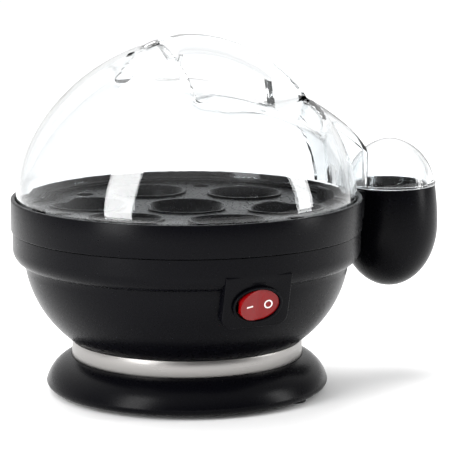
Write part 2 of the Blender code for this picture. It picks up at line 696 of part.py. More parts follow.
def make_heating(axis, finish):
    """Stainless plate, gasket, element, thermostat, fuse and heat shield, held by three screws."""
    rim = [(PLATE_RADIUS, PLATE_RIM_Z), (PLATE_MOUTH_RADIUS + PLATE_SHOULDER, PLATE_RIM_Z)]
    shoulder = (PLATE_MOUTH_RADIUS, PLATE_RIM_Z - PLATE_SHOULDER)
    side = bulged(shoulder, (PLATE_FLAT_RADIUS, PLATE_FLOOR_Z), 0.08, 4)
    top = rim + side + [(0, PLATE_FLOOR_Z)]
    under = beside(list(reversed(top)), SHEET_WALL)
    plate = turned("heating_plate", top + under, finish["steel"], axis)

    gasket = [
        (SHELF_RADIUS + PLAY, GASKET_Z),
        (PLATE_SCREW_CIRCLE - SCREW_HOLE - GAP, GASKET_Z),
        (PLATE_SCREW_CIRCLE - SCREW_HOLE - GAP, GASKET_Z + GASKET_THICKNESS),
        (SHELF_RADIUS + PLAY, GASKET_Z + GASKET_THICKNESS),
    ]
    turned("plate_gasket", gasket, finish["silicone"], axis)

    shield_top = [
        (PLATE_RADIUS, SHIELD_RIM_Z),
        (PLATE_MOUTH_RADIUS + 2.5 * PLATE_SHOULDER, SHIELD_RIM_Z),
        (SHIELD_FLAT_RADIUS + SHIELD_ROUND_WIDTH, SHIELD_FLOOR_Z + SHIELD_ROUND_HEIGHT),
        (SHIELD_FLAT_RADIUS, SHIELD_FLOOR_Z),
        (SHIELD_HOLE_RADIUS, SHIELD_FLOOR_Z),
    ]
    shield_under = beside(list(reversed(shield_top)), SHEET_WALL)
    shield = turned("heat_shield", shield_top + shield_under, finish["sheet"], axis)

    pin_x, pin_y, pin_z = cold_pin_tip()
    for index, x in enumerate((-pin_x, pin_x), start=1):
        low = (x, pin_y, pin_z - OVERSHOOT)
        high = (x, pin_y, pin_z + OVERSHOOT)
        cut(shield, rod(f"pin_clearance_{index}", COLD_PIN_RADIUS * 2, low, high, None, axis))

    up = Vector((0, 0, 1))
    for index, degrees in enumerate(PLATE_SCREW_ANGLES, start=1):
        low = on_circle(PLATE_SCREW_CIRCLE, degrees, SHIELD_RIM_Z - OVERSHOOT)
        high = on_circle(PLATE_SCREW_CIRCLE, degrees, PLATE_RIM_Z + BITE)
        passage = rod(f"plate_passage_{index}", SCREW_HOLE, low, high, None, axis)
        cut(plate, passage)
        cut(shield, passage)
        seat = on_circle(PLATE_SCREW_CIRCLE, degrees, SHIELD_RIM_Z - SHEET_WALL - GAP)
        length = TRAY_SEAT_Z - 2 * BITE - seat.z
        screw(f"plate_screw_{index}", seat, up, length, finish["steel"], axis)

    plate_under = PLATE_FLOOR_Z - SHEET_WALL
    element_z = plate_under - GAP - ELEMENT_RADIUS
    first = 90 + ELEMENT_GAP_ANGLE / 2
    step = (360 - ELEMENT_GAP_ANGLE) / ELEMENT_STEPS
    route = [on_circle(ELEMENT_CIRCLE, first + step * n, element_z) for n in range(ELEMENT_STEPS + 1)]
    wire("heating_element", route, ELEMENT_RADIUS, finish["sheath"], axis, 2)
    for index, end in enumerate((route[0], route[-1]), start=1):
        start = end - up * (ELEMENT_RADIUS + GAP)
        rod(f"cold_pin_{index}", COLD_PIN_RADIUS, start, start - up * COLD_PIN_LENGTH, finish["steel"], axis)

    can_top = plate_under - GAP
    can_low = (0, 0, can_top - THERMOSTAT_HEIGHT)
    can = rod("thermostat", THERMOSTAT_RADIUS, can_low, (0, 0, can_top), finish["ceramic"], axis, BOSS_SIDES)
    for index, x in enumerate((-THERMOSTAT_BLADE_SPREAD, THERMOSTAT_BLADE_SPREAD), start=1):
        low = (x - BLADE_HALF_WIDTH, -BLADE_HALF_THICKNESS, thermostat_blade_z())
        high = (x + BLADE_HALF_WIDTH, BLADE_HALF_THICKNESS, can_low[2] + BITE)
        fuse(can, box(f"thermostat_blade_{index}", low, high, None, axis))
    fuse_z = plate_under - 2 * GAP - THERMAL_FUSE_RADIUS
    fuse_ends = [(x, THERMAL_FUSE_Y, fuse_z) for x in (-THERMAL_FUSE_HALF_LENGTH, THERMAL_FUSE_HALF_LENGTH)]
    rod("thermal_fuse", THERMAL_FUSE_RADIUS, *fuse_ends, finish["ceramic"], axis)


# Tray


def make_tray(axis, finish):
    """A flat tray with seven funnel seats, steam holes and two finger tabs."""
    low = TRAY_SEAT_Z + GAP
    high = low + TRAY_WALL
    edge = TRAY_OPENING_RADIUS - PLAY
    lip = high + TRAY_LIP
    outline = [(0, low), (edge, low), (edge, lip)]
    outline += [(edge - TRAY_WALL, lip), (edge - TRAY_WALL, high), (0, high)]
    tray = turned("egg_tray", outline, finish["black"], axis)
    middles = [Vector((0, 0, 0))]
    middles += [on_circle(SEAT_CIRCLE, 30 + 360 * n / SEAT_COUNT) for n in range(SEAT_COUNT)]
    collar_top = high + COLLAR_RISE
    foot = high - SEAT_DEPTH
    collar = [(SEAT_TOP_RADIUS + TRAY_WALL, collar_top), (SEAT_TOP_RADIUS, collar_top)]
    collar += [(SEAT_FOOT_RADIUS, foot), (SEAT_FOOT_RADIUS + TRAY_WALL, foot)]

    def through(radius):
        under = low - OVERSHOOT
        over = high + OVERSHOOT
        return [(0, under), (radius, under), (radius, over), (0, over)]

    def make_holes(shape):
        for middle in middles:
            spin_outline(shape, through(SEAT_TOP_RADIUS + TRAY_WALL / 2), SMALL_SIDES, middle.xy)
        for n in range(SEAT_COUNT):
            middle = on_circle(STEAM_HOLE_CIRCLE, 360 * n / SEAT_COUNT)
            spin_outline(shape, through(STEAM_HOLE_RADIUS), TINY_SIDES, middle.xy)
        without_axis_edge(shape)

    def make_collars(shape):
        for middle in middles:
            spin_outline(shape, collar, SMALL_SIDES, middle.xy)

    cut(tray, solid("tray_holes", make_holes, None, axis))
    fuse(tray, solid("seat_collars", make_collars, None, axis))
    tab_middle = edge - TRAY_WALL - TAB_THICKNESS / 2
    for index, x in enumerate((-tab_middle, tab_middle), start=1):
        tab_low = (x - TAB_THICKNESS / 2, -TAB_WIDTH / 2, low + BITE)
        tab_high = (x + TAB_THICKNESS / 2, TAB_WIDTH / 2, high + TAB_HEIGHT)
        fuse(tray, box(f"finger_tab_{index}", tab_low, tab_high, None, axis))


# Lid


def dome_height_at(radius):
    share = max(0.0, 1 - (abs(radius) / LID_RADIUS) ** DOME_POWER)
    return DOME_Z + DOME_HEIGHT * share ** (1 / DOME_POWER)


def handle_top(x):
    """The bar stands proud of the dome, most in its middle and not at all at its ends."""
    share = (x - HANDLE_LEFT) / (HANDLE_RIGHT - HANDLE_LEFT)
    return dome_height_at(x) + HANDLE_PROUD * math.sin(math.pi * share) ** 0.5


def recess_floor(x):
    """The recesses' floor under the bar. It falls to the window's right end, then runs out on the dome."""
    highest = DOME_TOP_Z - RECESS_DEPTH
    share = min(max((x - WINDOW_LEFT) / (WINDOW_RIGHT - WINDOW_LEFT), 0.0), 1.0)
    lowest = highest - RECESS_SAG
    beyond = max(0.0, x - WINDOW_RIGHT) / (HANDLE_RIGHT - WINDOW_RIGHT)
    return highest - RECESS_SAG * share**2 + (dome_height_at(HANDLE_RIGHT) - lowest) * min(beyond, 1.0) ** 2


def recess_section(y, grow):
    """The recess across the handle at one distance from it. grow adds the wall."""
    out = abs(y) / LID_RADIUS
    left_foot = WINDOW_LEFT - RECESS_SPREAD * out - grow
    left_top = HANDLE_LEFT + RECESS_LEFT_TOP * (1 - out) - grow
    above = DOME_TOP_Z + 2 * OVERSHOOT
    points = [(left_top, y, above)]
    right_end = HANDLE_RIGHT + grow
    for step in range(RECESS_STEPS + 1):
        x = left_foot + (right_end - left_foot) * step / RECESS_STEPS
        points.append((x, y, recess_floor(x) - RECESS_SLOPE * out - grow))
    points.append((right_end, y, above))
    return points


def make_recess(name, grow, axis):
    reach = LID_RADIUS
    sections = [recess_section(reach * share, grow) for share in (-1.0, -0.5, 0.0, 0.5, 1.0)]
    return lofted(name, sections, None, axis)


def make_handle(axis):
    """The bar with its webs, in one outline: round the outside, then back along the window."""
    places = [HANDLE_LEFT + (HANDLE_RIGHT - HANDLE_LEFT) * n / BAR_STEPS for n in range(BAR_STEPS + 1)]
    inside = CLEAR_WALL / 2  # the outline ends within the dome's wall
    outline = [(HANDLE_LEFT, dome_height_at(HANDLE_LEFT) - inside)]
    outline += [(x, handle_top(x)) for x in places[1:-1]]
    outline += [(HANDLE_RIGHT, dome_height_at(HANDLE_RIGHT) - inside)]
    web = [WINDOW_RIGHT + (HANDLE_RIGHT - WINDOW_RIGHT) * share for share in (0.7, 0.35, 0.0)]
    outline += [(x, recess_floor(x) - inside) for x in web]
    outline += [(WINDOW_RIGHT, recess_floor(WINDOW_RIGHT) + CLEAR_WALL)]
    for n in range(1, WINDOW_STEPS + 1):
        x = WINDOW_RIGHT - (WINDOW_RIGHT - WINDOW_LEFT) * n / WINDOW_STEPS
        outline.append((x, handle_top(x) - HANDLE_DEPTH))
    outline.append((WINDOW_LEFT, recess_floor(WINDOW_LEFT) - inside))
    outline.append((HANDLE_LEFT + WEB_LEFT, recess_floor(WINDOW_LEFT) - inside))
    return extruded("lid_handle", outline, 1, -HANDLE_WIDTH / 2, HANDLE_WIDTH / 2, None, axis)


def nose_ridge(x):
    """Height of the nose's ridge: it leaves the dome at the root and falls to the outer end."""
    share = (x - NOSE_ROOT) / (NOSE_END - NOSE_ROOT)
    root = dome_height_at(NOSE_ROOT)
    end = DOME_TOP_Z - NOSE_END_DROP
    return root + (end - root) * (0.75 * share + 0.25 * share * abs(share))


def nose_section(x, shrink):
    half = NOSE_HALF_WIDTH - shrink
    ridge = nose_ridge(x) - shrink
    low = RIM_Z + NOSE_LIFT - (OVERSHOOT if shrink else 0.0)
    points = [(x, -half, low)]
    for step in range(NOSE_STEPS + 1):
        y = -half + 2 * half * step / NOSE_STEPS
        points.append((x, y, ridge - NOSE_ARCH * (y / NOSE_HALF_WIDTH) ** 2))
    points.append((x, half, low))
    return points


def make_nose(name, shrink, axis):
    places = [NOSE_ROOT - NOSE_OVERLAP, NOSE_ROOT, (NOSE_ROOT + NOSE_END) / 2, NOSE_END]
    made = lofted(name, [nose_section(x, shrink) for x in places], None, axis)
    low = (HOLDER_X, 0, RIM_Z - 2 * OVERSHOOT)
    high = (HOLDER_X, 0, DOME_TOP_Z)
    radius = HOLDER_RADIUS + NOSE_CLEARANCE + shrink
    cut(made, rod(f"{name}_clearance", radius, low, high, None, axis, SHELL_SIDES))
    return made


def make_lid(axis, finish):
    """Dome, finger recesses under a handle bar, steam vent, and the nose over the holder's neck."""
    rim_z = LID_SEAT_Z + GAP
    outer = dome(LID_RADIUS, DOME_Z, DOME_HEIGHT, DOME_POWER, 9)
    inner = dome(LID_RADIUS - CLEAR_WALL, DOME_Z, DOME_HEIGHT - CLEAR_WALL, DOME_POWER, 8)
    inside = list(reversed(inner))
    outline = [(LID_RADIUS, rim_z)] + outer + inside + [(LID_RADIUS - CLEAR_WALL, rim_z)]
    lid = turned("lid_shell", outline, finish["clear"], axis)
    full_dome = turned("dome_solid", [(0, rim_z), (LID_RADIUS, rim_z)] + outer, None, axis)

    nose = make_nose("lid_nose", 0.0, axis)
    cut(nose, make_nose("nose_hollow", CLEAR_WALL, axis))
    trim = dome(LID_RADIUS - CLEAR_WALL / 2, DOME_Z, DOME_HEIGHT - CLEAR_WALL / 2, DOME_POWER, 10)
    trim_low = rim_z - 2 * OVERSHOOT
    trim_outline = [(0, trim_low), (LID_RADIUS - CLEAR_WALL / 2, trim_low)] + trim
    cut(nose, turned("nose_trim", trim_outline, None, axis))
    fuse(lid, nose)

    recess_wall = make_recess("recess_wall", CLEAR_WALL, axis)
    boolean(recess_wall, full_dome, "INTERSECT")
    fuse(lid, recess_wall)
    cut(lid, make_recess("recess", 0.0, axis))
    fuse(lid, make_handle(axis))
    vent_low = (-VENT_OFFSET, 0, DOME_Z + DOME_HEIGHT / 2)
    vent_high = (-VENT_OFFSET, 0, DOME_TOP_Z + OVERSHOOT)
    cut(lid, rod("steam_vent", VENT_RADIUS, vent_low, vent_high, None, axis))


# Cup holder, cup and piercer


def holder_screw_places():
    """(y, z) of the two screws that hold the cup holder's neck to the ring."""
    height = (SEAM_Z + LOCATING_LIP + LID_SEAT_Z - RING_WALL) / 2
    return [(-NECK_HALF_WIDTH * 0.6, height), (NECK_HALF_WIDTH * 0.6, height)]


def holder_outline():
    """From the rim down the outside to the tip."""
    points = []
    for z_share in (1.0, 0.6, 0.25):
        rise = HOLDER_UPPER_HEIGHT * z_share
        radius = HOLDER_RADIUS * math.sqrt(1 - (rise / HOLDER_UPPER_CURVE) ** 2)
        points.append((radius, HOLDER_WIDEST_Z + rise))
    for step in range(HOLDER_STEPS + 1):
        angle = math.radians(90 * step / HOLDER_STEPS)
        radius = HOLDER_RADIUS * math.cos(angle) if step < HOLDER_STEPS else 0.0
        points.append((radius, HOLDER_WIDEST_Z - HOLDER_BELLY_DEPTH * math.sin(angle)))
    return points


def make_holder(axis, holder_axis, finish):
    """The egg-shaped holder with its neck, its two screws, the piercer and the cup on top."""
    outside = holder_outline()
    hollow_floor = HOLDER_WIDEST_Z - HOLDER_BELLY_DEPTH * HOLLOW_DEPTH_SHARE
    shell = [point for point in beside(outside, HOLDER_WALL) if point[1] > hollow_floor + 2 * BITE]
    floor_radius = shell[-1][0] - HOLDER_WALL / 2
    outline = outside + [(0, hollow_floor), (floor_radius, hollow_floor)] + list(reversed(shell))
    holder = turned("cup_holder", outline, finish["black"], holder_axis, CUP_SIDES)

    neck_top = HOLDER_RIM_Z - BITE
    neck_low = (LID_SEAT_RADIUS, -NECK_HALF_WIDTH, neck_top - NECK_HEIGHT)
    neck_high = (HOLDER_X - HOLDER_RADIUS * NECK_REACH_SHARE, NECK_HALF_WIDTH, neck_top)
    neck = box("holder_neck", neck_low, neck_high, None, axis)
    space_low = (0, 0, neck_low[2] - OVERSHOOT)
    space_high = (0, 0, neck_top + OVERSHOOT)
    cut(neck, rod("ring_space", BAND_RADIUS + GAP, space_low, space_high, None, axis, SHELL_SIDES))
    pocket = [(0, hollow_floor + 2 * BITE)] + list(reversed(shell))
    pocket += [(shell[0][0], HOLDER_RIM_Z + OVERSHOOT), (0, HOLDER_RIM_Z + OVERSHOOT)]
    cut(neck, turned("holder_pocket", pocket, None, holder_axis, CUP_SIDES))
    fuse(holder, neck)
    toward_holder = Vector((1, 0, 0))
    for index, (y, z) in enumerate(holder_screw_places(), start=1):
        start = Vector((LID_SEAT_RADIUS - GAP, y, z))
        end = start + toward_holder * (HOLDER_SCREW_LENGTH + GAP)
        cut(holder, rod(f"neck_hole_{index}", SCREW_HOLE, start, end, None, axis))
        head = HOLDER_SCREW_HEAD
        facet = LID_SEAT_RADIUS * math.cos(math.pi / SHELL_SIDES)
        seat = Vector((math.sqrt(facet**2 - (y + math.copysign(head[0], y)) ** 2) - GAP, y, z))
        screw(f"holder_screw_{index}", seat, toward_holder, HOLDER_SCREW_LENGTH, finish["steel"], axis, head)

    base_z = hollow_floor + GAP
    base_top = base_z + PIERCER_BASE_HEIGHT
    base = [(0, base_z), (PIERCER_BASE_RADIUS, base_z), (PIERCER_BASE_RADIUS * 0.8, base_top)]
    pin_seat = base_top - PIN_SOCKET_DEPTH
    base += [(PIN_RADIUS + GAP, base_top), (PIN_RADIUS + GAP, pin_seat), (0, pin_seat)]
    turned("piercer_base", base, finish["matte"], holder_axis, SMALL_SIDES)
    tip = pin_seat + GAP + PIN_LENGTH
    pin = [(0, pin_seat + GAP), (PIN_RADIUS, pin_seat + GAP), (PIN_RADIUS, tip - PIN_POINT), (0, tip)]
    turned("piercer_pin", pin, finish["steel"], holder_axis, TINY_SIDES)

    seat = HOLDER_RIM_Z + GAP
    flange_top = seat + CUP_FLANGE_THICKNESS
    flange_radius = CUP_RADIUS + CUP_FLANGE
    skirt_radius = shell[0][0] - PLAY
    outer = dome(CUP_RADIUS, flange_top, CUP_HEIGHT - CUP_FLANGE_THICKNESS, DOME_POWER, 7)
    inner_height = CUP_HEIGHT - CUP_FLANGE_THICKNESS - CUP_WALL
    inner = dome(skirt_radius - CUP_WALL, flange_top, inner_height, DOME_POWER, 6)
    cup = [(skirt_radius, seat - CUP_SKIRT), (skirt_radius, seat)]
    cup += [(flange_radius, seat), (flange_radius, flange_top)]
    cup += outer + list(reversed(inner)) + [(skirt_radius - CUP_WALL, seat - CUP_SKIRT)]
    turned("measuring_cup", cup, finish["clear"], holder_axis, CUP_SIDES)


# Switch


def switch_body_outline(grow=0.0):
    """The part of the switch that passes through the panel: an oval."""
    half_width = ROCKER_HALF_WIDTH + 2 * PLAY + SWITCH_WALL + grow
    half_height = ROCKER_HALF_HEIGHT + PLAY + SWITCH_WALL + grow
    return oval(half_width, half_height)


def on_panel(x, inward, up):
    """A point given in the tilted panel's own directions, in the body's."""
    tilt = math.radians(PANEL_TILT)
    y = PANEL_TOP_Y + inward * math.cos(tilt) - up * math.sin(tilt)
    z = PANEL_TOP_Z + inward * math.sin(tilt) + up * math.cos(tilt)
    return Vector((x, y, z))


def make_switch(panel, finish):
    """Oval frame, rocker on its upright pivot, three blades and the neon lamp."""
    back = SWITCH_DEPTH
    body_outline = [(x, z - SWITCH_DROP) for x, z in switch_body_outline()]
    front = -GAP - BEZEL_THICKNESS / 2
    frame = extruded("switch_frame", body_outline, 1, front, back, finish["black"], panel)
    bezel_outline = [(x, z - SWITCH_DROP) for x, z in switch_body_outline(BEZEL_WIDTH)]
    fuse(frame, extruded("switch_bezel", bezel_outline, 1, -GAP - BEZEL_THICKNESS, -GAP, None, panel))
    opening = oval(ROCKER_HALF_WIDTH + 2 * PLAY, ROCKER_HALF_HEIGHT + PLAY)
    opening = [(x, z - SWITCH_DROP) for x, z in opening]
    cut(frame, extruded("switch_opening", opening, 1, -OVERSHOOT, back - SWITCH_FLOOR, None, panel))

    pivot = reference("rocker_pivot", (0, PIVOT_DEPTH, -SWITCH_DROP), panel)
    pivot.rotation_euler.z = math.radians(ROCKER_ANGLE)
    valley = -PIVOT_DEPTH - ROCKER_VALLEY
    raised = valley - ROCKER_HALF_WIDTH * math.tan(math.radians(ROCKER_ANGLE))
    lower_end = ROCKER_HALF_WIDTH * 0.86
    section = [(-ROCKER_HALF_WIDTH, raised), (0, valley), (ROCKER_HALF_WIDTH, raised)]
    section += [(lower_end, ROCKER_DEPTH / 2), (ROCKER_FOOT_HALF_WIDTH, ROCKER_DEPTH)]
    section += [(-ROCKER_FOOT_HALF_WIDTH, ROCKER_DEPTH)]
    section += [(-lower_end, ROCKER_DEPTH / 2)]
    tall = ROCKER_HALF_HEIGHT + 2 * BITE
    rocker = extruded("switch_rocker", section, 2, -tall, tall, finish["red"], pivot)
    rim = oval(ROCKER_HALF_WIDTH, ROCKER_HALF_HEIGHT)
    reach = 2 * ROCKER_DEPTH
    boolean(rocker, extruded("rocker_oval", rim, 1, -reach, reach, None, pivot), "INTERSECT")

    lamp_y = back - SWITCH_FLOOR - GAP - LAMP_RADIUS
    lamp_ends = [(side * LAMP_HALF_LENGTH, lamp_y, -SWITCH_DROP) for side in (-1, 1)]
    rod("neon_lamp", LAMP_RADIUS, *lamp_ends, finish["lamp"], panel)
    for index, x in enumerate((-SWITCH_BLADE_SPREAD, 0.0, SWITCH_BLADE_SPREAD), start=1):
        low = (x - BLADE_HALF_THICKNESS, back + GAP, -SWITCH_DROP - SWITCH_BLADE_HALF_HEIGHT)
        high = (x + BLADE_HALF_THICKNESS, back + SWITCH_BLADE_LENGTH, SWITCH_BLADE_HALF_HEIGHT - SWITCH_DROP)
        box(f"switch_blade_{index}", low, high, finish["brass"], panel)


# Mains entry and wiring


def make_mains(axis, finish):
    """Gland, cord clamp and terminal block, and the wires from there to the switch and the plate."""
    flange_start = BOSS_FACE_Y + GAP
    gland_end = BOSS_FACE_Y + GLAND_STEM
    gland = [
        (CORD_HOLE_RADIUS, BOSS_INSIDE_Y - HOUSING_WALL),
        (GLAND_RADIUS, BOSS_INSIDE_Y - HOUSING_WALL),
        (GLAND_RADIUS, flange_start),
        (GLAND_RADIUS + GLAND_FLANGE, flange_start),
        (GLAND_RADIUS + GLAND_FLANGE, flange_start + GLAND_FLANGE_THICKNESS),
        (GLAND_RADIUS - 2 * BITE, gland_end),
        (CORD_HOLE_RADIUS, gland_end),
    ]
    toward_back = (-math.pi / 2, 0, 0)
    turned("cord_gland", gland, finish["rubber"], axis, SMALL_SIDES, (0, 0, GLAND_HEIGHT), toward_back)

    floor = NECK_FLOOR_Z + HOUSING_WALL
    block_middle = Vector((0, BLOCK_Y, floor + GAP + BLOCK_SIZE[2] / 2))
    block_low = block_middle - Vector(BLOCK_SIZE) / 2
    block_high = block_middle + Vector(BLOCK_SIZE) / 2
    block_top = block_high.z
    block = box("terminal_block", block_low, block_high, finish["white"], axis, EDGE_ROUND)
    wide, high = TERMINAL_HEAD
    for index, x in enumerate((-TERMINAL_SPREAD, 0.0, TERMINAL_SPREAD), start=1):
        top = (x, BLOCK_Y, block_top + OVERSHOOT)
        well = (x, BLOCK_Y, block_top - TERMINAL_WELL)
        cut(block, rod(f"terminal_hole_{index}", wide + PLAY, top, well, None, axis))
        seat = (x, BLOCK_Y, block_top - high - PLAY)
        length = TERMINAL_SCREW_LENGTH
        screw(f"terminal_screw_{index}", seat, (0, 0, -1), length, finish["brass"], axis, TERMINAL_HEAD)

    clamp_top = floor + GAP + CLAMP_HEIGHT
    clamp_half = CLAMP_SCREW_SPREAD + CLAMP_END
    clamp_low = (-clamp_half, CLAMP_Y - CLAMP_HALF_WIDTH, floor + GAP)
    clamp_high = (clamp_half, CLAMP_Y + CLAMP_HALF_WIDTH, clamp_top)
    clamp = box("cord_clamp", clamp_low, clamp_high, finish["white"], axis, EDGE_ROUND)
    cord_low = (0, CLAMP_Y - 2 * OVERSHOOT, floor)
    cord_high = (0, CLAMP_Y + 2 * OVERSHOOT, floor)
    cut(clamp, rod("clamp_channel", CORD_HOLE_RADIUS, cord_low, cord_high, None, axis))
    for index, x in enumerate((-CLAMP_SCREW_SPREAD, CLAMP_SCREW_SPREAD), start=1):
        seat = (x, CLAMP_Y, clamp_top + GAP)
        hole_low = (x, CLAMP_Y, floor - OVERSHOOT)
        hole_high = (x, CLAMP_Y, clamp_top + OVERSHOOT)
        cut(clamp, rod(f"clamp_hole_{index}", SCREW_HOLE, hole_low, hole_high, None, axis))
        length = CLAMP_HEIGHT + 2 * GAP + HOUSING_WALL
        screw(f"clamp_screw_{index}", seat, (0, 0, -1), length, finish["steel"], axis)
    make_wiring(axis, finish, block_low.y - GAP)


def make_wiring(axis, finish, block_front):
    """Live to the switch, on to the thermostat and the element, and back to the block."""
    blade_end = SWITCH_DEPTH + SWITCH_BLADE_LENGTH + 3 * GAP
    wire_z = NECK_FLOOR_Z + HOUSING_WALL + 0.0060
    under_z = SHIELD_FLOOR_Z - SHEET_WALL - 0.0060
    blade_tip_z = thermostat_blade_z() - 3 * GAP
    pin_x, pin_y, pin_tip_z = cold_pin_tip()
    pin_end_z = pin_tip_z - 3 * GAP
    live_start = (-TERMINAL_SPREAD, block_front, wire_z)
    neutral_start = (TERMINAL_SPREAD, block_front, wire_z)
    routes = {
        "live_wire": [
            live_start,
            (-TERMINAL_SPREAD, block_front - 0.0060, wire_z),
            (-0.0140, -0.0200, wire_z + 0.0060),
            (-0.0120, -0.0460, under_z - 0.0140),
            on_panel(-SWITCH_BLADE_SPREAD, blade_end + 0.0030, -SWITCH_DROP),
            on_panel(-SWITCH_BLADE_SPREAD, blade_end, -SWITCH_DROP),
        ],
        "switched_wire": [
            on_panel(0.0, blade_end, -SWITCH_DROP),
            on_panel(0.0, blade_end + 0.0030, -SWITCH_DROP),
            (-0.0010, -0.0460, under_z - 0.0080),
            (-0.0010, -0.0300, under_z - 0.0100),
            (-THERMOSTAT_BLADE_SPREAD, -0.0060, under_z - 0.0100),
            (-THERMOSTAT_BLADE_SPREAD, 0.0, blade_tip_z - 0.0060),
            (-THERMOSTAT_BLADE_SPREAD, 0.0, blade_tip_z),
        ],
        "element_wire": [
            (THERMOSTAT_BLADE_SPREAD, 0.0, blade_tip_z),
            (THERMOSTAT_BLADE_SPREAD, 0.0, blade_tip_z - 0.0060),
            (0.0100, 0.0120, under_z - 0.0060),
            (pin_x, pin_y, pin_end_z - 0.0060),
            (pin_x, pin_y, pin_end_z),
        ],
        "neutral_wire": [
            neutral_start,
            (TERMINAL_SPREAD, block_front - 0.0060, wire_z),
            (0.0000, 0.0080, wire_z + 0.0160),
            (-pin_x, pin_y, pin_end_z - 0.0100),
            (-pin_x, pin_y, pin_end_z),
        ],
    }
    for name, route in routes.items():
        wire(name, route, WIRE_RADIUS, finish["blue" if name == "neutral_wire" else "brown"], axis)


def main():
    clear_scene()
    finish = {
        "black": material("black polypropylene", (0.010, 0.010, 0.011), 0.38),
        "matte": material("matt black plastic", (0.014, 0.014, 0.014), 0.60),
        "rubber": material("black rubber", (0.012, 0.012, 0.012), 0.80),
        "clear": material("clear styrene", (0.97, 0.98, 0.98), 0.03, 0.0, 1.0),
        "steel": material("brushed stainless steel", (0.62, 0.61, 0.60), 0.25, 1.0),
        "sheet": material("galvanised sheet", (0.50, 0.50, 0.50), 0.45, 1.0),
        "sheath": material("aluminium heater sheath", (0.55, 0.55, 0.55), 0.40, 1.0),
        "silicone": material("silicone rubber", (0.30, 0.30, 0.30), 0.60),
        "ceramic": material("glazed ceramic", (0.75, 0.72, 0.66), 0.30),
        "red": material("translucent red plastic", (0.62, 0.010, 0.012), 0.15),
        "lamp": material("neon lamp glass", (0.85, 0.35, 0.15), 0.10),
        "brass": material("brass", (0.65, 0.48, 0.22), 0.30, 1.0),
        "white": material("white nylon", (0.78, 0.77, 0.73), 0.45),
        "brown": material("brown wire insulation", (0.16, 0.07, 0.03), 0.45),
        "blue": material("blue wire insulation", (0.03, 0.10, 0.35), 0.45),
    }
    axis = reference("body_axis", (AXIS_X, 0, 0))
    holder_axis = reference("holder_axis", (HOLDER_X, 0, 0), axis)
    panel = reference("switch_panel", (0, PANEL_TOP_Y, PANEL_TOP_Z), axis)
    panel.rotation_euler.x = math.radians(PANEL_TILT)
    make_base(axis, finish)
    make_bowl(axis, panel, finish)
    make_ring(axis, finish)
    make_heating(axis, finish)
    make_tray(axis, finish)
    make_lid(axis, finish)
    make_holder(axis, holder_axis, finish)
    make_switch(panel, finish)
    make_mains(axis, finish)


main()
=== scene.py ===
import json
import math

import bmesh
import bpy
from mathutils import Matrix, Vector


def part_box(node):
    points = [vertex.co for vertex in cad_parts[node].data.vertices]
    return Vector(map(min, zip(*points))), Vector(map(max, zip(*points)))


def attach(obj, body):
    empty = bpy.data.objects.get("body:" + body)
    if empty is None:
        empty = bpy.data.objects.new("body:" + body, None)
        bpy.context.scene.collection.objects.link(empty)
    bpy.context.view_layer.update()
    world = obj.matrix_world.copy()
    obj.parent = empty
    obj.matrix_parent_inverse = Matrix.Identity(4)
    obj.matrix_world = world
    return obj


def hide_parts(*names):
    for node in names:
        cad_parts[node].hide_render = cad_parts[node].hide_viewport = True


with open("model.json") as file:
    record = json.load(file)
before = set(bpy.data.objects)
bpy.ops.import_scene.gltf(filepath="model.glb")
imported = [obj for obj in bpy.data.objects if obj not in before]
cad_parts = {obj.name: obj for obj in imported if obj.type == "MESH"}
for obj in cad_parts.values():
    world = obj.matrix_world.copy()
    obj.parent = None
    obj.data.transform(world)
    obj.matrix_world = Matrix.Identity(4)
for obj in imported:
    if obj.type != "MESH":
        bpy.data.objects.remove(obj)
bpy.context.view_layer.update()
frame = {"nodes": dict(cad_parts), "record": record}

MM = 0.001

# Where the CAD's pieces are
RING_LOW, RING_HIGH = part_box("upper_ring")
BOWL_LOW, BOWL_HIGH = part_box("housing_bowl")
STEEL_LOW, STEEL_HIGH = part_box("steel_band")
BASE_LOW, BASE_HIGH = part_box("base_foot")
PLATE_LOW, PLATE_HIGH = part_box("heating_plate")
HOLDER_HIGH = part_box("cup_holder")[1]
CUP_LOW, CUP_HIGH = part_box("measuring_cup")
GLAND_LOW, GLAND_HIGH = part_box("cord_gland")

AXIS_X = (RING_LOW.x + RING_HIGH.x) / 2
BAND_RADIUS = (RING_HIGH.x - RING_LOW.x) / 2
RIM_Z = RING_HIGH.z
SEAM_Z = RING_LOW.z
GAP = 0.3 * MM
CLEAR_WALL = 2.0 * MM

# Rounds and walls of the turned pieces
RING_WALL = 2.3 * MM
LID_SEAT_DEPTH = 2.6 * MM
LID_SEAT_WIDTH = 5.0 * MM
TRAY_SEAT_DEPTH = 6.6 * MM
TRAY_SEAT_WIDTH = 4.4 * MM
LID_SEAT_Z = RIM_Z - LID_SEAT_DEPTH
TRAY_SEAT_Z = RIM_Z - TRAY_SEAT_DEPTH
LID_SEAT_RADIUS = BAND_RADIUS - RING_WALL
TRAY_OPENING_RADIUS = LID_SEAT_RADIUS - LID_SEAT_WIDTH

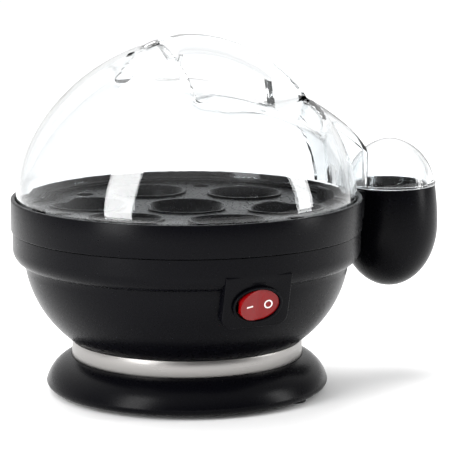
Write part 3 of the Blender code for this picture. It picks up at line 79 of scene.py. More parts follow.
BAND_STEP = 0.7 * MM
BOWL_STEP = 6.3 * MM
LOWER_BAND_HEIGHT = 18.3 * MM
LOWER_BAND_ROUND = 8.0 * MM
BAND_FOOT_WIDTH = 0.7 * MM
BAND_FOOT_HEIGHT = 1.7 * MM
HOUSING_WALL = 2.2 * MM
BOWL_BULGE = 0.10
BOWL_TOP_Z = SEAM_Z - GAP / 2 - LOWER_BAND_HEIGHT
SHOULDER_Z = STEEL_HIGH.z + GAP
STEEL_RADIUS = (STEEL_HIGH.x - STEEL_LOW.x) / 2
NECK_RADIUS = STEEL_RADIUS - 2.1 * MM
LOWER_BAND_RADIUS = BAND_RADIUS - BAND_STEP
BOWL_RADIUS = LOWER_BAND_RADIUS - BOWL_STEP
BASE_RADIUS = (BASE_HIGH.x - BASE_LOW.x) / 2
BASE_EDGE_HEIGHT = 2.8 * MM  # from its underside up to the widest point
BASE_UNDERCUT = 2.0 * MM
BASE_FLARE_BULGE = 0.137
BASE_EDGE_BULGE = 0.12
BASE_FLANGE_INSIDE = 43 * MM
MAINS_BOSS_RADIUS = 10.5 * MM
MAINS_BOSS_LENGTH = 10 * MM
MAINS_BOSS_SET_BACK = 1 * MM
CORD_HOLE_RADIUS = 3.3 * MM
GLAND_RADIUS = 5.0 * MM
GLAND_HOLE_RADIUS = 5.3 * MM
GLAND_FLANGE_THICKNESS = 1.8 * MM
GLAND_GROOVES = 3

# Lid
LID_RADIUS = LID_SEAT_RADIUS - 0.4 * MM
DOME_Z = LID_SEAT_Z + GAP + 2.2 * MM
DOME_HEIGHT = 81.0 * MM
DOME_POWER = 1.8
DOME_TOP_Z = DOME_Z + DOME_HEIGHT
NOSE_INSET = 21.0 * MM
NOSE_OVERLAP = 12.0 * MM
NOSE_REACH = 23.7 * MM
NOSE_HALF_WIDTH = 20.0 * MM
NOSE_END_DROP = 52.0 * MM
NOSE_ARCH = 8.2 * MM
NOSE_CORNER = 1.6 * MM  # how far its top rounds down at the sides
NOSE_LIFT = 1.2 * MM
NOSE_CLEARANCE = 4.2 * MM
HANDLE_LEFT = -24.0 * MM
HANDLE_PROUD = 2.0 * MM
HANDLE_DEPTH = 10.5 * MM
HANDLE_HALF_WIDTH = 5.0 * MM
WINDOW_LEFT = -3.7 * MM
WEB_RIGHT = 19.2 * MM
RECESS_DEPTH = 20.5 * MM
RECESS_SAG = 17.9 * MM
RECESS_SLOPE = 9.0 * MM
RECESS_SPREAD = 22.0 * MM
RECESS_LEFT_TOP = 3.0 * MM
RECESS_EASE = 2.2 * MM  # how softly the recesses' edges run into the dome
VENT_RADIUS = 2.0 * MM
VENT_OFFSET = 30.0 * MM

# Holder and cup
HOLDER_X = (CUP_LOW.x + CUP_HIGH.x) / 2 - AXIS_X
HOLDER_RADIUS = 25.7 * MM
HOLDER_RIM_Z = HOLDER_HIGH.z
HOLDER_UPPER_HEIGHT = 21.0 * MM
HOLDER_UPPER_CURVE = 61.0 * MM
HOLDER_BELLY_DEPTH = 33.3 * MM
HOLLOW_DEPTH_SHARE = 0.72
NECK_REACH_SHARE = 0.80
NECK_DROP = 0.5 * MM
HOLDER_WALL = 1.8 * MM
NECK_HALF_WIDTH = 13.0 * MM
NECK_HEIGHT = 15.0 * MM
CUP_RADIUS = 23.6 * MM
CUP_FLANGE = 0.9 * MM
CUP_FLANGE_THICKNESS = 1.3 * MM
CUP_WALL = 1.6 * MM
CUP_SKIRT = 4.5 * MM

NOSE_ROOT = LID_RADIUS - NOSE_INSET
NOSE_END = HOLDER_X - NOSE_REACH
HANDLE_RIGHT = NOSE_ROOT
WINDOW_RIGHT = HANDLE_RIGHT - WEB_RIGHT

# Switch
PANEL_TILT = math.radians(14)
PANEL_WIDTH = 35.0 * MM
PANEL_HEIGHT = 26.2 * MM
PANEL_DEPTH = 12.0 * MM
PANEL_ROUND = 6.0 * MM
SWITCH_DROP = 13.8 * MM
ROCKER_HALF_WIDTH = 11.0 * MM
ROCKER_HALF_HEIGHT = 7.9 * MM
ROCKER_ANGLE = math.radians(9)
ROCKER_DEPTH = 4.0 * MM
PIVOT_DEPTH = 1.2 * MM
ROCKER_VALLEY = 1.0 * MM
ROCKER_EASE = 1.5 * MM  # how softly its two lobes meet
MARK_OFFSET = 5.3 * MM
MARK_RADIUS = 1.9 * MM
MARK_LINE = 0.35 * MM
SWITCH_WALL = 0.7 * MM
BEZEL_WIDTH = 0.5 * MM
BEZEL_THICKNESS = 1.4 * MM
SWITCH_DEPTH = 13.0 * MM
SWITCH_BACK = 1.2 * MM
PLAY = 0.4 * MM

# Egg tray
SEAT_CIRCLE = 51.0 * MM
SEAT_TOP_RADIUS = 18.5 * MM
SEAT_FOOT_RADIUS = 13.5 * MM
SEAT_DEPTH = 8.0 * MM
TRAY_WALL = 1.6 * MM
TRAY_LIP = 1.2 * MM
STEAM_HOLE_RADIUS = 4.5 * MM
STEAM_HOLE_CIRCLE = 67.0 * MM
TAB_THICKNESS = 1.9 * MM
TAB_WIDTH = 16.0 * MM
TAB_HEIGHT = 4.5 * MM
COLLAR_RISE = 1 * MM

# Heating plate
SHEET_WALL = 1.0 * MM
PLATE_RIM_WIDTH = 9.2 * MM
PLATE_FLAT_RADIUS = 46 * MM
PLATE_BULGE = 0.08

LID_SIDES = 200
FINE_SIDES = 160
ROUND_SIDES = 96
SMALL_SIDES = 64
SEAT_SIDES = 48
HOLE_SIDES = 32


# Materials


def colour(text):
    """A colour written as #rrggbb, turned to linear values."""
    linear = []
    for place in (1, 3, 5):
        part = int(text[place : place + 2], 16) / 255
        linear.append(part / 12.92 if part <= 0.04045 else ((part + 0.055) / 1.055) ** 2.4)
    return (*linear, 1.0)


def add(tree, kind, settings=None, links=None):
    """Adds a node, sets its properties or sockets by name, and links its sockets to other nodes' outputs."""
    node = tree.nodes.new(kind)
    for name, value in (settings or {}).items():
        if name in node.inputs:
            node.inputs[name].default_value = value
        else:
            setattr(node, name, value)
    for name, (source, output) in (links or {}).items():
        tree.links.new(source.outputs[output], node.inputs[name])
    return node


def finish(name, shader_settings):
    """A material with a plain shader. Returns it, its nodes and the shader."""
    made = bpy.data.materials.new(name)
    made.use_nodes = True
    tree = made.node_tree
    shader = tree.nodes["Principled BSDF"]
    for socket, value in shader_settings.items():
        shader.inputs[socket].default_value = value
    return made, tree, shader


def grained(made, tree, shader, size, roughness, bump, stretch=(1, 1, 1)):
    """Roughness that varies between two values, and a shallow relief, over patches of one real size."""
    place = add(tree, "ShaderNodeTexCoord")
    mapped = add(tree, "ShaderNodeMapping", {"Scale": stretch}, {"Vector": (place, "Object")})
    pattern = {"Scale": 1 / size, "Detail": 3.0, "Roughness": 0.6}
    noise = add(tree, "ShaderNodeTexNoise", pattern, {"Vector": (mapped, "Vector")})
    limits = {"To Min": roughness[0], "To Max": roughness[1]}
    spread = add(tree, "ShaderNodeMapRange", limits, {"Value": (noise, "Fac")})
    tree.links.new(spread.outputs["Result"], shader.inputs["Roughness"])
    relief = add(tree, "ShaderNodeBump", {"Strength": 0.6, "Distance": bump}, {"Height": (noise, "Fac")})
    tree.links.new(relief.outputs["Normal"], shader.inputs["Normal"])
    return made


def black_polypropylene():
    # Injection moulded and polished in the tool: near black, a soft even gloss with a faint orange peel.
    look = {"Base Color": colour("#050508"), "IOR": 1.49, "Specular IOR Level": 0.07}
    made = finish("black polypropylene", look)
    return grained(*made, 1.6 * MM, (0.24, 0.32), 0.012 * MM)


def textured_black():
    # Spark-eroded tool texture: fine matt grain.
    made = finish("textured black polypropylene", {"Base Color": colour("#131314"), "IOR": 1.49})
    return grained(*made, 0.5 * MM, (0.5, 0.66), 0.05 * MM)


def clear_styrene():
    # Clear moulded styrene: glassy, with slow waves left by the moulding.
    look = {"Base Color": colour("#f7f9fa"), "IOR": 1.49, "Transmission Weight": 1.0}
    made = finish("clear styrene", look | {"Specular IOR Level": 0.5})
    return grained(*made, 22 * MM, (0.0, 0.03), 0.05 * MM)


def brushed_steel():
    # Stainless strip brushed along its length: hairlines round the band spread its highlights up and down.
    shader_settings = {"Base Color": colour("#8b8987"), "Metallic": 1.0, "Anisotropic": 0.85}
    made, tree, shader = finish("brushed stainless steel", shader_settings)
    around = add(tree, "ShaderNodeTangent", {"direction_type": "RADIAL", "axis": "Z"})
    tree.links.new(around.outputs["Tangent"], shader.inputs["Tangent"])
    return grained(made, tree, shader, 0.35 * MM, (0.22, 0.38), 0.01 * MM, (0.02, 0.02, 1))


def spun_steel():
    # Pressed stainless plate, satin finished, with slight cloudiness.
    made = finish("satin stainless steel", {"Base Color": colour("#c9c7c3"), "Metallic": 1.0})
    return grained(*made, 3 * MM, (0.22, 0.34), 0.01 * MM)


def zinc():
    # Zinc-plated screws: bright, slightly patchy.
    made = finish("bright zinc plate", {"Base Color": colour("#b9bcc0"), "Metallic": 1.0})
    return grained(*made, 1 * MM, (0.22, 0.42), 0.01 * MM)


def galvanised():
    # Galvanised sheet: spangled, dull.
    made = finish("galvanised steel sheet", {"Base Color": colour("#a3a6a8"), "Metallic": 1.0})
    return grained(*made, 5 * MM, (0.35, 0.6), 0.01 * MM)


def heater_sheath():
    # Annealed aluminium tube: dull, lightly drawn.
    made = finish("drawn aluminium", {"Base Color": colour("#b4b4b2"), "Metallic": 1.0})
    return grained(*made, 1 * MM, (0.4, 0.55), 0.01 * MM)


def black_rubber():
    # Moulded nitrile rubber: matt and slightly dusty.
    made = finish("moulded black rubber", {"Base Color": colour("#161616"), "IOR": 1.52})
    return grained(*made, 0.6 * MM, (0.65, 0.85), 0.03 * MM)


def silicone():
    # Translucent grey silicone.
    made = finish("moulded silicone", {"Base Color": colour("#8d8d8b"), "IOR": 1.41})
    return grained(*made, 1 * MM, (0.45, 0.6), 0.02 * MM)


def ceramic():
    # Steatite, thinly glazed.
    made = finish("glazed steatite", {"Base Color": colour("#d9d3c6"), "IOR": 1.6})
    return grained(*made, 1.5 * MM, (0.2, 0.4), 0.02 * MM)


def red_polycarbonate():
    # Red polycarbonate, polished: deep colour with a thin clear gloss over it.
    look = {"Base Color": colour("#780407"), "IOR": 1.58, "Specular IOR Level": 0.2}
    made = finish("red polycarbonate", look | {"Coat Weight": 0.05, "Coat Roughness": 0.05})
    return grained(*made, 4 * MM, (0.12, 0.2), 0.01 * MM)


def white_print():
    # Pad-printed white ink.
    made = finish("white ink", {"Base Color": colour("#f3efec"), "IOR": 1.5})
    return grained(*made, 0.5 * MM, (0.4, 0.5), 0.005 * MM)


def lamp_glass():
    # Soft glass bulb.
    made = finish("lamp glass", {"Base Color": colour("#f0a070"), "IOR": 1.5, "Transmission Weight": 0.8})
    return grained(*made, 2 * MM, (0.02, 0.08), 0.005 * MM)


def brass():
    # Turned brass, slightly tarnished.
    made = finish("turned brass", {"Base Color": colour("#d0ae68"), "Metallic": 1.0})
    return grained(*made, 1 * MM, (0.25, 0.45), 0.01 * MM)


def white_nylon():
    # Moulded nylon: waxy, off-white.
    made = finish("white nylon", {"Base Color": colour("#e4e1d8"), "IOR": 1.53})
    return grained(*made, 1 * MM, (0.4, 0.55), 0.02 * MM)


def insulation(name, hexadecimal):
    # Extruded silicone wire insulation.
    made = finish(name, {"Base Color": colour(hexadecimal), "IOR": 1.45})
    return grained(*made, 1 * MM, (0.4, 0.55), 0.01 * MM)


def pale_board():
    # Matt white board for the floor, with a faint tooth.
    look = {"Base Color": colour("#f6f6f6"), "IOR": 1.45, "Specular IOR Level": 0.1}
    made = finish("pale matt board", look)
    return grained(*made, 2 * MM, (0.8, 0.9), 0.01 * MM)


# Making and finishing pieces


def select_only(*objects):
    if bpy.context.mode != "OBJECT":
        bpy.ops.object.mode_set(mode="OBJECT")
    bpy.ops.object.select_all(action="DESELECT")
    for item in objects:
        item.select_set(True)
    bpy.context.view_layer.objects.active = objects[0]


def smooth(piece, degrees=35):
    select_only(piece)
    bpy.ops.object.shade_smooth_by_angle(angle=math.radians(degrees))


def apply_modifier(piece, kind, **settings):
    select_only(piece)
    step = piece.modifiers.new("step", kind)
    for name, value in settings.items():
        setattr(step, name, value)
    bpy.ops.object.modifier_apply(modifier=step.name)


def combine(piece, other, operation, solver="EXACT"):
    """Joins, cuts or keeps what is shared with another shape, which is then removed."""
    apply_modifier(piece, "BOOLEAN", operation=operation, object=other, solver=solver)
    bpy.data.objects.remove(other)
    select_only(piece)
    bpy.ops.object.mode_set(mode="EDIT")
    bpy.ops.mesh.select_all(action="SELECT")
    bpy.ops.mesh.dissolve_degenerate(threshold=1e-6)
    bpy.ops.object.mode_set(mode="OBJECT")


def outward(piece):
    """Merges points that meet, drops loose edges and turns every face outward."""
    select_only(piece)
    bpy.ops.object.mode_set(mode="EDIT")
    bpy.ops.mesh.select_all(action="SELECT")
    bpy.ops.mesh.remove_doubles(threshold=1e-6)
    bpy.ops.mesh.delete_loose()
    bpy.ops.mesh.select_all(action="SELECT")
    bpy.ops.mesh.normals_make_consistent(inside=False)
    bpy.ops.object.mode_set(mode="OBJECT")


def lathe(name, profile, centre=(AXIS_X, 0.0), sides=FINE_SIDES):
    """A turned piece: its profile of (radius, height) is drawn by extruding one point, then spun upright."""
    x, y = centre
    radius, height = profile[0]
    bpy.ops.object.select_all(action="DESELECT")
    bpy.ops.mesh.primitive_plane_add(size=MM, location=(x + radius, y, height))
    piece = bpy.context.object
    piece.name = name
    bpy.ops.object.transform_apply(location=True, rotation=True, scale=True)
    bpy.ops.object.mode_set(mode="EDIT")
    bpy.ops.mesh.select_mode(type="VERT")
    bpy.ops.mesh.select_all(action="SELECT")
    bpy.ops.mesh.merge(type="CENTER")
    for (before, low), (after, high) in zip(profile, profile[1:]):
        bpy.ops.mesh.extrude_region_move(TRANSFORM_OT_translate={"value": (after - before, 0, high - low)})
    bpy.ops.mesh.select_all(action="SELECT")
    bpy.ops.mesh.spin(steps=sides, angle=2 * math.pi, center=(x, y, 0), axis=(0, 0, 1))
    bpy.ops.object.mode_set(mode="OBJECT")
    outward(piece)
    return piece


def skinned(name, rings):
    """A closed body through rings of points, its two ends filled, for shapes that no primitive gives."""
    shape = bmesh.new()
    made = [[shape.verts.new(point) for point in ring] for ring in rings]
    for first, second in zip(made, made[1:]):
        for index in range(len(first)):
            after = (index + 1) % len(first)
            shape.faces.new((first[index], first[after], second[after], second[index]))
    shape.faces.new(made[0])
    shape.faces.new(made[-1])
    bmesh.ops.recalc_face_normals(shape, faces=shape.faces)
    mesh = bpy.data.meshes.new(name)
    shape.to_mesh(mesh)
    shape.free()
    piece = bpy.data.objects.new(name, mesh)
    bpy.context.scene.collection.objects.link(piece)
    return piece


def block(name, low, high):
    """A cube primitive stretched between two corners."""
    bpy.ops.object.select_all(action="DESELECT")
    middle = [(a + b) / 2 for a, b in zip(low, high)]
    bpy.ops.mesh.primitive_cube_add(size=1, location=middle)
    piece = bpy.context.object
    piece.name = name
    piece.scale = [b - a for a, b in zip(low, high)]
    bpy.ops.object.transform_apply(location=True, rotation=True, scale=True)
    return piece


def cylinder(name, radius, low, high, centre, sides=SMALL_SIDES):
    bpy.ops.object.select_all(action="DESELECT")
    place = (centre[0], centre[1], (low + high) / 2)
    bpy.ops.mesh.primitive_cylinder_add(vertices=sides, radius=radius, depth=high - low, location=place)
    piece = bpy.context.object
    piece.name = name
    bpy.ops.object.transform_apply(location=True, rotation=True, scale=True)
    return piece


def moved(piece, matrix):
    """Carries a piece from where it was modelled to its place, in its mesh."""
    piece.data.transform(matrix)
    piece.data.update()
    return piece


def rounded(piece, width, segments=3, degrees=40):
    corner = math.radians(degrees)
    apply_modifier(piece, "BEVEL", width=width, segments=segments, limit_method="ANGLE", angle_limit=corner)


def placed(piece, body, slot_name, surface, *nodes):
    """Gives a finished piece its material and its body, and hides the CAD nodes it stands for. Its slot name
    is not used.
    """
    piece.data.materials.clear()
    piece.data.materials.append(surface)
    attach(piece, body)
    if nodes:
        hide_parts(*nodes)
    return piece


# Outlines


def arc(start, end, bulge, steps):
    """Points on an arc from start to end. Its middle stands off the chord by bulge times its length."""
    a = Vector(start)
    b = Vector(end)
    chord = b - a
    half_angle = 2 * math.atan(2 * bulge)
    centre = (a + b) / 2 - Vector((-chord.y, chord.x)) / (2 * math.tan(half_angle))
    points = []
    for step in range(steps + 1):
        turn = -2 * half_angle * step / steps
        spoke = a - centre
        cos, sin = math.cos(turn), math.sin(turn)
        points.append((centre.x + spoke.x * cos - spoke.y * sin, centre.y + spoke.x * sin + spoke.y * cos))
    return points


def beside(path, distance):
    """The path moved sideways, to the right of its travel."""
    shifted = []
    for index, point in enumerate(path):
        before = Vector(path[max(index - 1, 0)])
        after = Vector(path[min(index + 1, len(path) - 1)])
        along = (after - before).normalized()
        shifted.append((point[0] + along.y * distance, point[1] - along.x * distance))
    return shifted


def dome_profile(radius, base, height, steps):
    """A quarter of a superellipse, from its widest level to its top."""
    points = []
    for step in range(steps + 1):
        angle = math.pi / 2 * step / steps
        across = max(math.cos(angle), 0.0) ** (2 / DOME_POWER)
        up = math.sin(angle) ** (2 / DOME_POWER)
        points.append((radius * across if step < steps else 0.0, base + height * up))
    return points


def dome_height(radius, inset=0.0):
    share = max(0.0, 1 - (abs(radius) / (LID_RADIUS - inset)) ** DOME_POWER)
    return DOME_Z + (DOME_HEIGHT - inset) * share ** (1 / DOME_POWER)


# Housing


def make_ring(surface):
    step_inside = TRAY_OPENING_RADIUS + RING_WALL
    under = TRAY_SEAT_Z - RING_WALL
    profile = [
        (BAND_RADIUS, SEAM_Z),
        (BAND_RADIUS, RIM_Z),
        (LID_SEAT_RADIUS, RIM_Z),
        (LID_SEAT_RADIUS, LID_SEAT_Z),
        (TRAY_OPENING_RADIUS, LID_SEAT_Z),
        (TRAY_OPENING_RADIUS, TRAY_SEAT_Z),
        (TRAY_OPENING_RADIUS - TRAY_SEAT_WIDTH, TRAY_SEAT_Z),
        (TRAY_OPENING_RADIUS - TRAY_SEAT_WIDTH, under),
        (step_inside, under),
        (step_inside, LID_SEAT_Z - RING_WALL),
        (LID_SEAT_RADIUS, LID_SEAT_Z - RING_WALL),
        (LID_SEAT_RADIUS, SEAM_Z),
        (BAND_RADIUS, SEAM_Z),
    ]
    ring = lathe("upper_ring_fine", profile)
    rounded(ring, 0.7 * MM)
    smooth(ring)
    placed(ring, "cooker", "black_plastic", surface, "upper_ring")


def panel_matrix():
    """The switch panel's own directions: x along it, y into the body, z up its face."""
    place = Matrix.Translation((AXIS_X, 2 * GAP - LOWER_BAND_RADIUS, BOWL_TOP_Z + LOWER_BAND_ROUND))
    return place @ Matrix.Rotation(PANEL_TILT, 4, "X")


def oval_block(name, half_width, half_height, front, back, sides=96):
    """An oval bar along y, centred on the rocker, modelled in the panel's directions."""
    bpy.ops.object.select_all(action="DESELECT")
    bpy.ops.mesh.primitive_cylinder_add(vertices=sides, radius=1, depth=1, rotation=(math.pi / 2, 0, 0))
    piece = bpy.context.object
    piece.name = name
    bpy.ops.object.transform_apply(location=True, rotation=True, scale=True)
    piece.scale = (half_width, back - front, half_height)
    piece.location = (0, (front + back) / 2, -SWITCH_DROP)
    bpy.ops.object.transform_apply(location=True, rotation=True, scale=True)
    return piece


def make_bowl(surface):
    lip = LID_SEAT_RADIUS - GAP
    foot = (BOWL_RADIUS + BAND_FOOT_WIDTH, BOWL_TOP_Z + BAND_FOOT_HEIGHT)
    outside = [(LOWER_BAND_RADIUS, SEAM_Z - GAP)]
    outside += arc((LOWER_BAND_RADIUS, foot[1] + LOWER_BAND_ROUND), foot, 0.16, 14)
    belly = arc((BOWL_RADIUS, BOWL_TOP_Z), (STEEL_RADIUS, SHOULDER_Z), BOWL_BULGE, 28)
    outside += belly + [(NECK_RADIUS, SHOULDER_Z), (NECK_RADIUS, BOWL_LOW.z)]
    inner_neck = NECK_RADIUS - HOUSING_WALL
    inside = [(0, BOWL_LOW.z), (0, BOWL_LOW.z + HOUSING_WALL), (inner_neck, BOWL_LOW.z + HOUSING_WALL)]
    inside += list(reversed(beside(belly, HOUSING_WALL)))
    inside += [(lip - HOUSING_WALL, BOWL_TOP_Z + LOWER_BAND_ROUND), (lip - HOUSING_WALL, BOWL_HIGH.z)]
    inside += [(lip, BOWL_HIGH.z), (lip, SEAM_Z - GAP), outside[0]]
    bowl = lathe("housing_bowl_fine", outside + inside)

    half = PANEL_WIDTH / 2
    bib = block("bib", (-half, 0, -PANEL_HEIGHT), (half, PANEL_DEPTH, 1 * MM))
    select_only(bib)
    bpy.ops.object.mode_set(mode="EDIT")
    bpy.ops.mesh.select_mode(type="EDGE")
    bpy.ops.mesh.select_all(action="DESELECT")
    bpy.ops.object.mode_set(mode="OBJECT")
    for edge in bib.data.edges:
        a, b = (bib.data.vertices[index].co for index in edge.vertices)
        edge.select = abs(a.y - b.y) > PANEL_DEPTH / 2 and max(a.z, b.z) < 0
    bpy.ops.object.mode_set(mode="EDIT")
    bpy.ops.mesh.bevel(offset=PANEL_ROUND, segments=12)
    bpy.ops.object.mode_set(mode="OBJECT")
    rounded(bib, 0.5 * MM)
    moved(bib, panel_matrix())
    combine(bowl, bib, "UNION")
    hollow = block(
        "hollow",
        (HOUSING_WALL - half, HOUSING_WALL, HOUSING_WALL - PANEL_HEIGHT),
        (half - HOUSING_WALL, PANEL_DEPTH + 10 * MM, -1.6 * MM),
    )
    combine(bowl, moved(hollow, panel_matrix()), "DIFFERENCE")
    half_width = ROCKER_HALF_WIDTH + 2 * PLAY + SWITCH_WALL + GAP
    half_height = ROCKER_HALF_HEIGHT + PLAY + SWITCH_WALL + GAP
    opening = oval_block("opening", half_width, half_height, -5 * MM, PANEL_DEPTH)
    combine(bowl, moved(opening, panel_matrix()), "DIFFERENCE")

    gland_z = (GLAND_LOW.z + GLAND_HIGH.z) / 2
    boss_face = BOWL_RADIUS - MAINS_BOSS_SET_BACK
    toward_back = Matrix.Translation((AXIS_X, 0, gland_z)) @ Matrix.Rotation(-math.pi / 2, 4, "X")
    boss = cylinder("boss", MAINS_BOSS_RADIUS, boss_face - MAINS_BOSS_LENGTH, boss_face, (0, 0))
    rounded(boss, 0.5 * MM)
    combine(bowl, moved(boss, toward_back), "UNION")
    hole_low = boss_face - 2 * MAINS_BOSS_LENGTH
    hole_high = boss_face + MAINS_BOSS_LENGTH
    hole = cylinder("gland_hole", GLAND_HOLE_RADIUS, hole_low, hole_high, (0, 0))
    combine(bowl, moved(hole, toward_back), "DIFFERENCE")
    smooth(bowl, 30)
    placed(bowl, "cooker", "black_plastic", surface, "housing_bowl")


def make_steel_band(surface):
    profile = [
        (NECK_RADIUS + GAP, STEEL_LOW.z),
        (STEEL_RADIUS, STEEL_LOW.z),
        (STEEL_RADIUS, STEEL_HIGH.z),
        (NECK_RADIUS + GAP, STEEL_HIGH.z),
        (NECK_RADIUS + GAP, STEEL_LOW.z),
    ]
    band = lathe("steel_band_fine", profile)
    rounded(band, 0.25 * MM, 2)
    smooth(band)
    placed(band, "cooker", "brushed_steel", surface, "steel_band")


def make_base(surface):
    widest = (BASE_RADIUS, BASE_LOW.z + BASE_EDGE_HEIGHT)
    flare = arc((STEEL_RADIUS + GAP, BASE_HIGH.z), widest, BASE_FLARE_BULGE, 20)
    edge = arc(flare[-1], (BASE_RADIUS - BASE_UNDERCUT, BASE_LOW.z), BASE_EDGE_BULGE, 8)
    outside = flare + edge[1:]
    flange = BOWL_LOW.z - GAP
    inner = [point for point in reversed(beside(flare, HOUSING_WALL)) if point[1] < flange - HOUSING_WALL]
    profile = outside + [(BASE_RADIUS - BASE_UNDERCUT - HOUSING_WALL, BASE_LOW.z)] + inner
    profile += [(inner[-1][0], flange - HOUSING_WALL), (BASE_FLANGE_INSIDE, flange - HOUSING_WALL)]
    profile += [(BASE_FLANGE_INSIDE, flange)]
    profile += [(NECK_RADIUS + GAP, flange), (NECK_RADIUS + GAP, STEEL_LOW.z - GAP)]
    profile += [(STEEL_RADIUS + GAP, STEEL_LOW.z - GAP), outside[0]]
    foot = lathe("base_foot_fine", profile)
    smooth(foot)
    placed(foot, "cooker", "black_plastic", surface, "base_foot")


def make_feet(surface):
    for index in (1, 2, 3):
        node = f"rubber_foot_{index}"
        low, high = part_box(node)
        radius = (high.x - low.x) / 2
        centre = ((low.x + high.x) / 2, (low.y + high.y) / 2)
        inner = radius * 0.55
        profile = [(0, low.z + 0.5 * MM), (inner, low.z + 0.5 * MM), (inner, low.z), (radius, low.z)]
        profile += [(radius, high.z), (0, high.z)]
        foot = lathe(f"{node}_fine", profile, centre, SMALL_SIDES)
        rounded(foot, 0.4 * MM)
        smooth(foot)
        placed(foot, "cooker", "rubber", surface, node)


def make_gland(surface):
    centre_z = (GLAND_LOW.z + GLAND_HIGH.z) / 2
    flange = (GLAND_HIGH.x - GLAND_LOW.x) / 2
    face = BOWL_RADIUS - MAINS_BOSS_SET_BACK + GAP
    start = face + GLAND_FLANGE_THICKNESS
    end = GLAND_HIGH.y
    profile = [(CORD_HOLE_RADIUS, GLAND_LOW.y), (GLAND_RADIUS, GLAND_LOW.y), (GLAND_RADIUS, face)]
    profile += [(flange, face), (flange, start)]
    stem = GLAND_RADIUS - 0.4 * MM
    groove = stem - 0.5 * MM
    for index in range(GLAND_GROOVES):
        low = start + (end - start) * index / GLAND_GROOVES
        high = low + 0.6 * (end - start) / GLAND_GROOVES
        profile += [(stem, low), (stem, high), (groove, high + 0.1 * MM)]
    profile += [(groove, end), (CORD_HOLE_RADIUS, end), (CORD_HOLE_RADIUS, GLAND_LOW.y)]
    gland = lathe("cord_gland_fine", profile, (0, 0), SMALL_SIDES)
    rounded(gland, 0.15 * MM, 2)
    moved(gland, Matrix.Translation((AXIS_X, 0, centre_z)) @ Matrix.Rotation(-math.pi / 2, 4, "X"))
    smooth(gland)
    placed(gland, "cooker", "rubber", surface, "cord_gland")


# Tray and plate


def seat_places():
    places = [(AXIS_X, 0.0)]
    for index in range(6):
        angle = math.radians(30 + 60 * index)
        places.append((AXIS_X + SEAT_CIRCLE * math.cos(angle), SEAT_CIRCLE * math.sin(angle)))
    return places


def make_tray(surface):
    low = TRAY_SEAT_Z + GAP
    high = low + TRAY_WALL
    edge = TRAY_OPENING_RADIUS - PLAY
    profile = [(0, low), (edge, low), (edge, high + TRAY_LIP), (edge - TRAY_WALL, high + TRAY_LIP)]
    profile += [(edge - TRAY_WALL, high), (0, high)]
    tray = lathe("egg_tray_fine", profile)
    for centre in seat_places():
        radius = SEAT_TOP_RADIUS + TRAY_WALL / 2
        hole = cylinder("seat_hole", radius, low - MM, high + MM, centre, SEAT_SIDES)
        combine(tray, hole, "DIFFERENCE")
    for index in range(6):
        angle = math.radians(60 * index)
        centre = (AXIS_X + STEAM_HOLE_CIRCLE * math.cos(angle), STEAM_HOLE_CIRCLE * math.sin(angle))
        hole = cylinder("steam_hole", STEAM_HOLE_RADIUS, low - MM, high + MM, centre, HOLE_SIDES)
        combine(tray, hole, "DIFFERENCE")
    top = high + COLLAR_RISE
    foot = high - SEAT_DEPTH
    collar = [
        (SEAT_TOP_RADIUS + TRAY_WALL, top),
        (SEAT_TOP_RADIUS, top),
        (SEAT_FOOT_RADIUS, foot),
        (SEAT_FOOT_RADIUS + TRAY_WALL, foot),
        (SEAT_TOP_RADIUS + TRAY_WALL, top),
    ]
    parts = [tray]
    for centre in seat_places():
        part = lathe("collar", collar, centre, SEAT_SIDES)
        rounded(part, 0.35 * MM, 2)
        parts.append(part)
    tab_middle = edge - TRAY_WALL - TAB_THICKNESS / 2
    for side in (-1, 1):
        x = AXIS_X + side * tab_middle
        tab = block(
            "tab",
            (x - TAB_THICKNESS / 2, -TAB_WIDTH / 2, low + 0.5 * MM),
            (x + TAB_THICKNESS / 2, TAB_WIDTH / 2, high + TAB_HEIGHT),
        )
        rounded(tab, 0.6 * MM)
        parts.append(tab)
    select_only(*parts)
    bpy.ops.object.join()
    smooth(tray)
    placed(tray, "tray", "black_plastic", surface, "egg_tray")


def make_plate(surface):
    rim = (PLATE_HIGH.x - PLATE_LOW.x) / 2
    mouth = rim - PLATE_RIM_WIDTH
    floor = PLATE_LOW.z + SHEET_WALL
    top = [(rim, PLATE_HIGH.z), (mouth + MM, PLATE_HIGH.z)]
    top += arc((mouth, PLATE_HIGH.z - MM), (PLATE_FLAT_RADIUS, floor), PLATE_BULGE, 16)
    top += [(0, floor)]
    under = [(radius, height - SHEET_WALL) for radius, height in reversed(top)]
    plate = lathe("heating_plate_fine", top + under + [top[0]])
    smooth(plate)
    placed(plate, "cooker", "brushed_steel", surface, "heating_plate")


# Lid


def handle_top(x):
    share = min(max((x - HANDLE_LEFT) / (HANDLE_RIGHT - HANDLE_LEFT), 0.0), 1.0)
    return dome_height(x) + HANDLE_PROUD * math.sin(math.pi * share) ** 0.5


def recess_floor(x):
    """The recesses' floor under the bar. It falls to the window's right end, then runs out on the dome."""
    highest = DOME_TOP_Z - RECESS_DEPTH
    share = min(max((x - WINDOW_LEFT) / (WINDOW_RIGHT - WINDOW_LEFT), 0.0), 1.0)
    beyond = max(0.0, x - WINDOW_RIGHT) / (HANDLE_RIGHT - WINDOW_RIGHT)
    rise = dome_height(HANDLE_RIGHT) - (highest - RECESS_SAG)
    return highest - RECESS_SAG * share**2 + rise * min(beyond, 1.0) ** 2


def recess_height(x, y):
    """The recesses' surface with its sloping left side. Beyond the right end it stands above the dome."""
    out = abs(y) / LID_RADIUS
    foot = WINDOW_LEFT - RECESS_SPREAD * out
    top = HANDLE_LEFT + RECESS_LEFT_TOP * (1 - out)
    steep = (RECESS_DEPTH + 10 * MM) / max(foot - top, 5 * MM)
    climb = max(0.0, foot - x) * steep
    past = max(0.0, x - HANDLE_RIGHT) * 3.0
    return recess_floor(x) - RECESS_SLOPE * out + climb + past


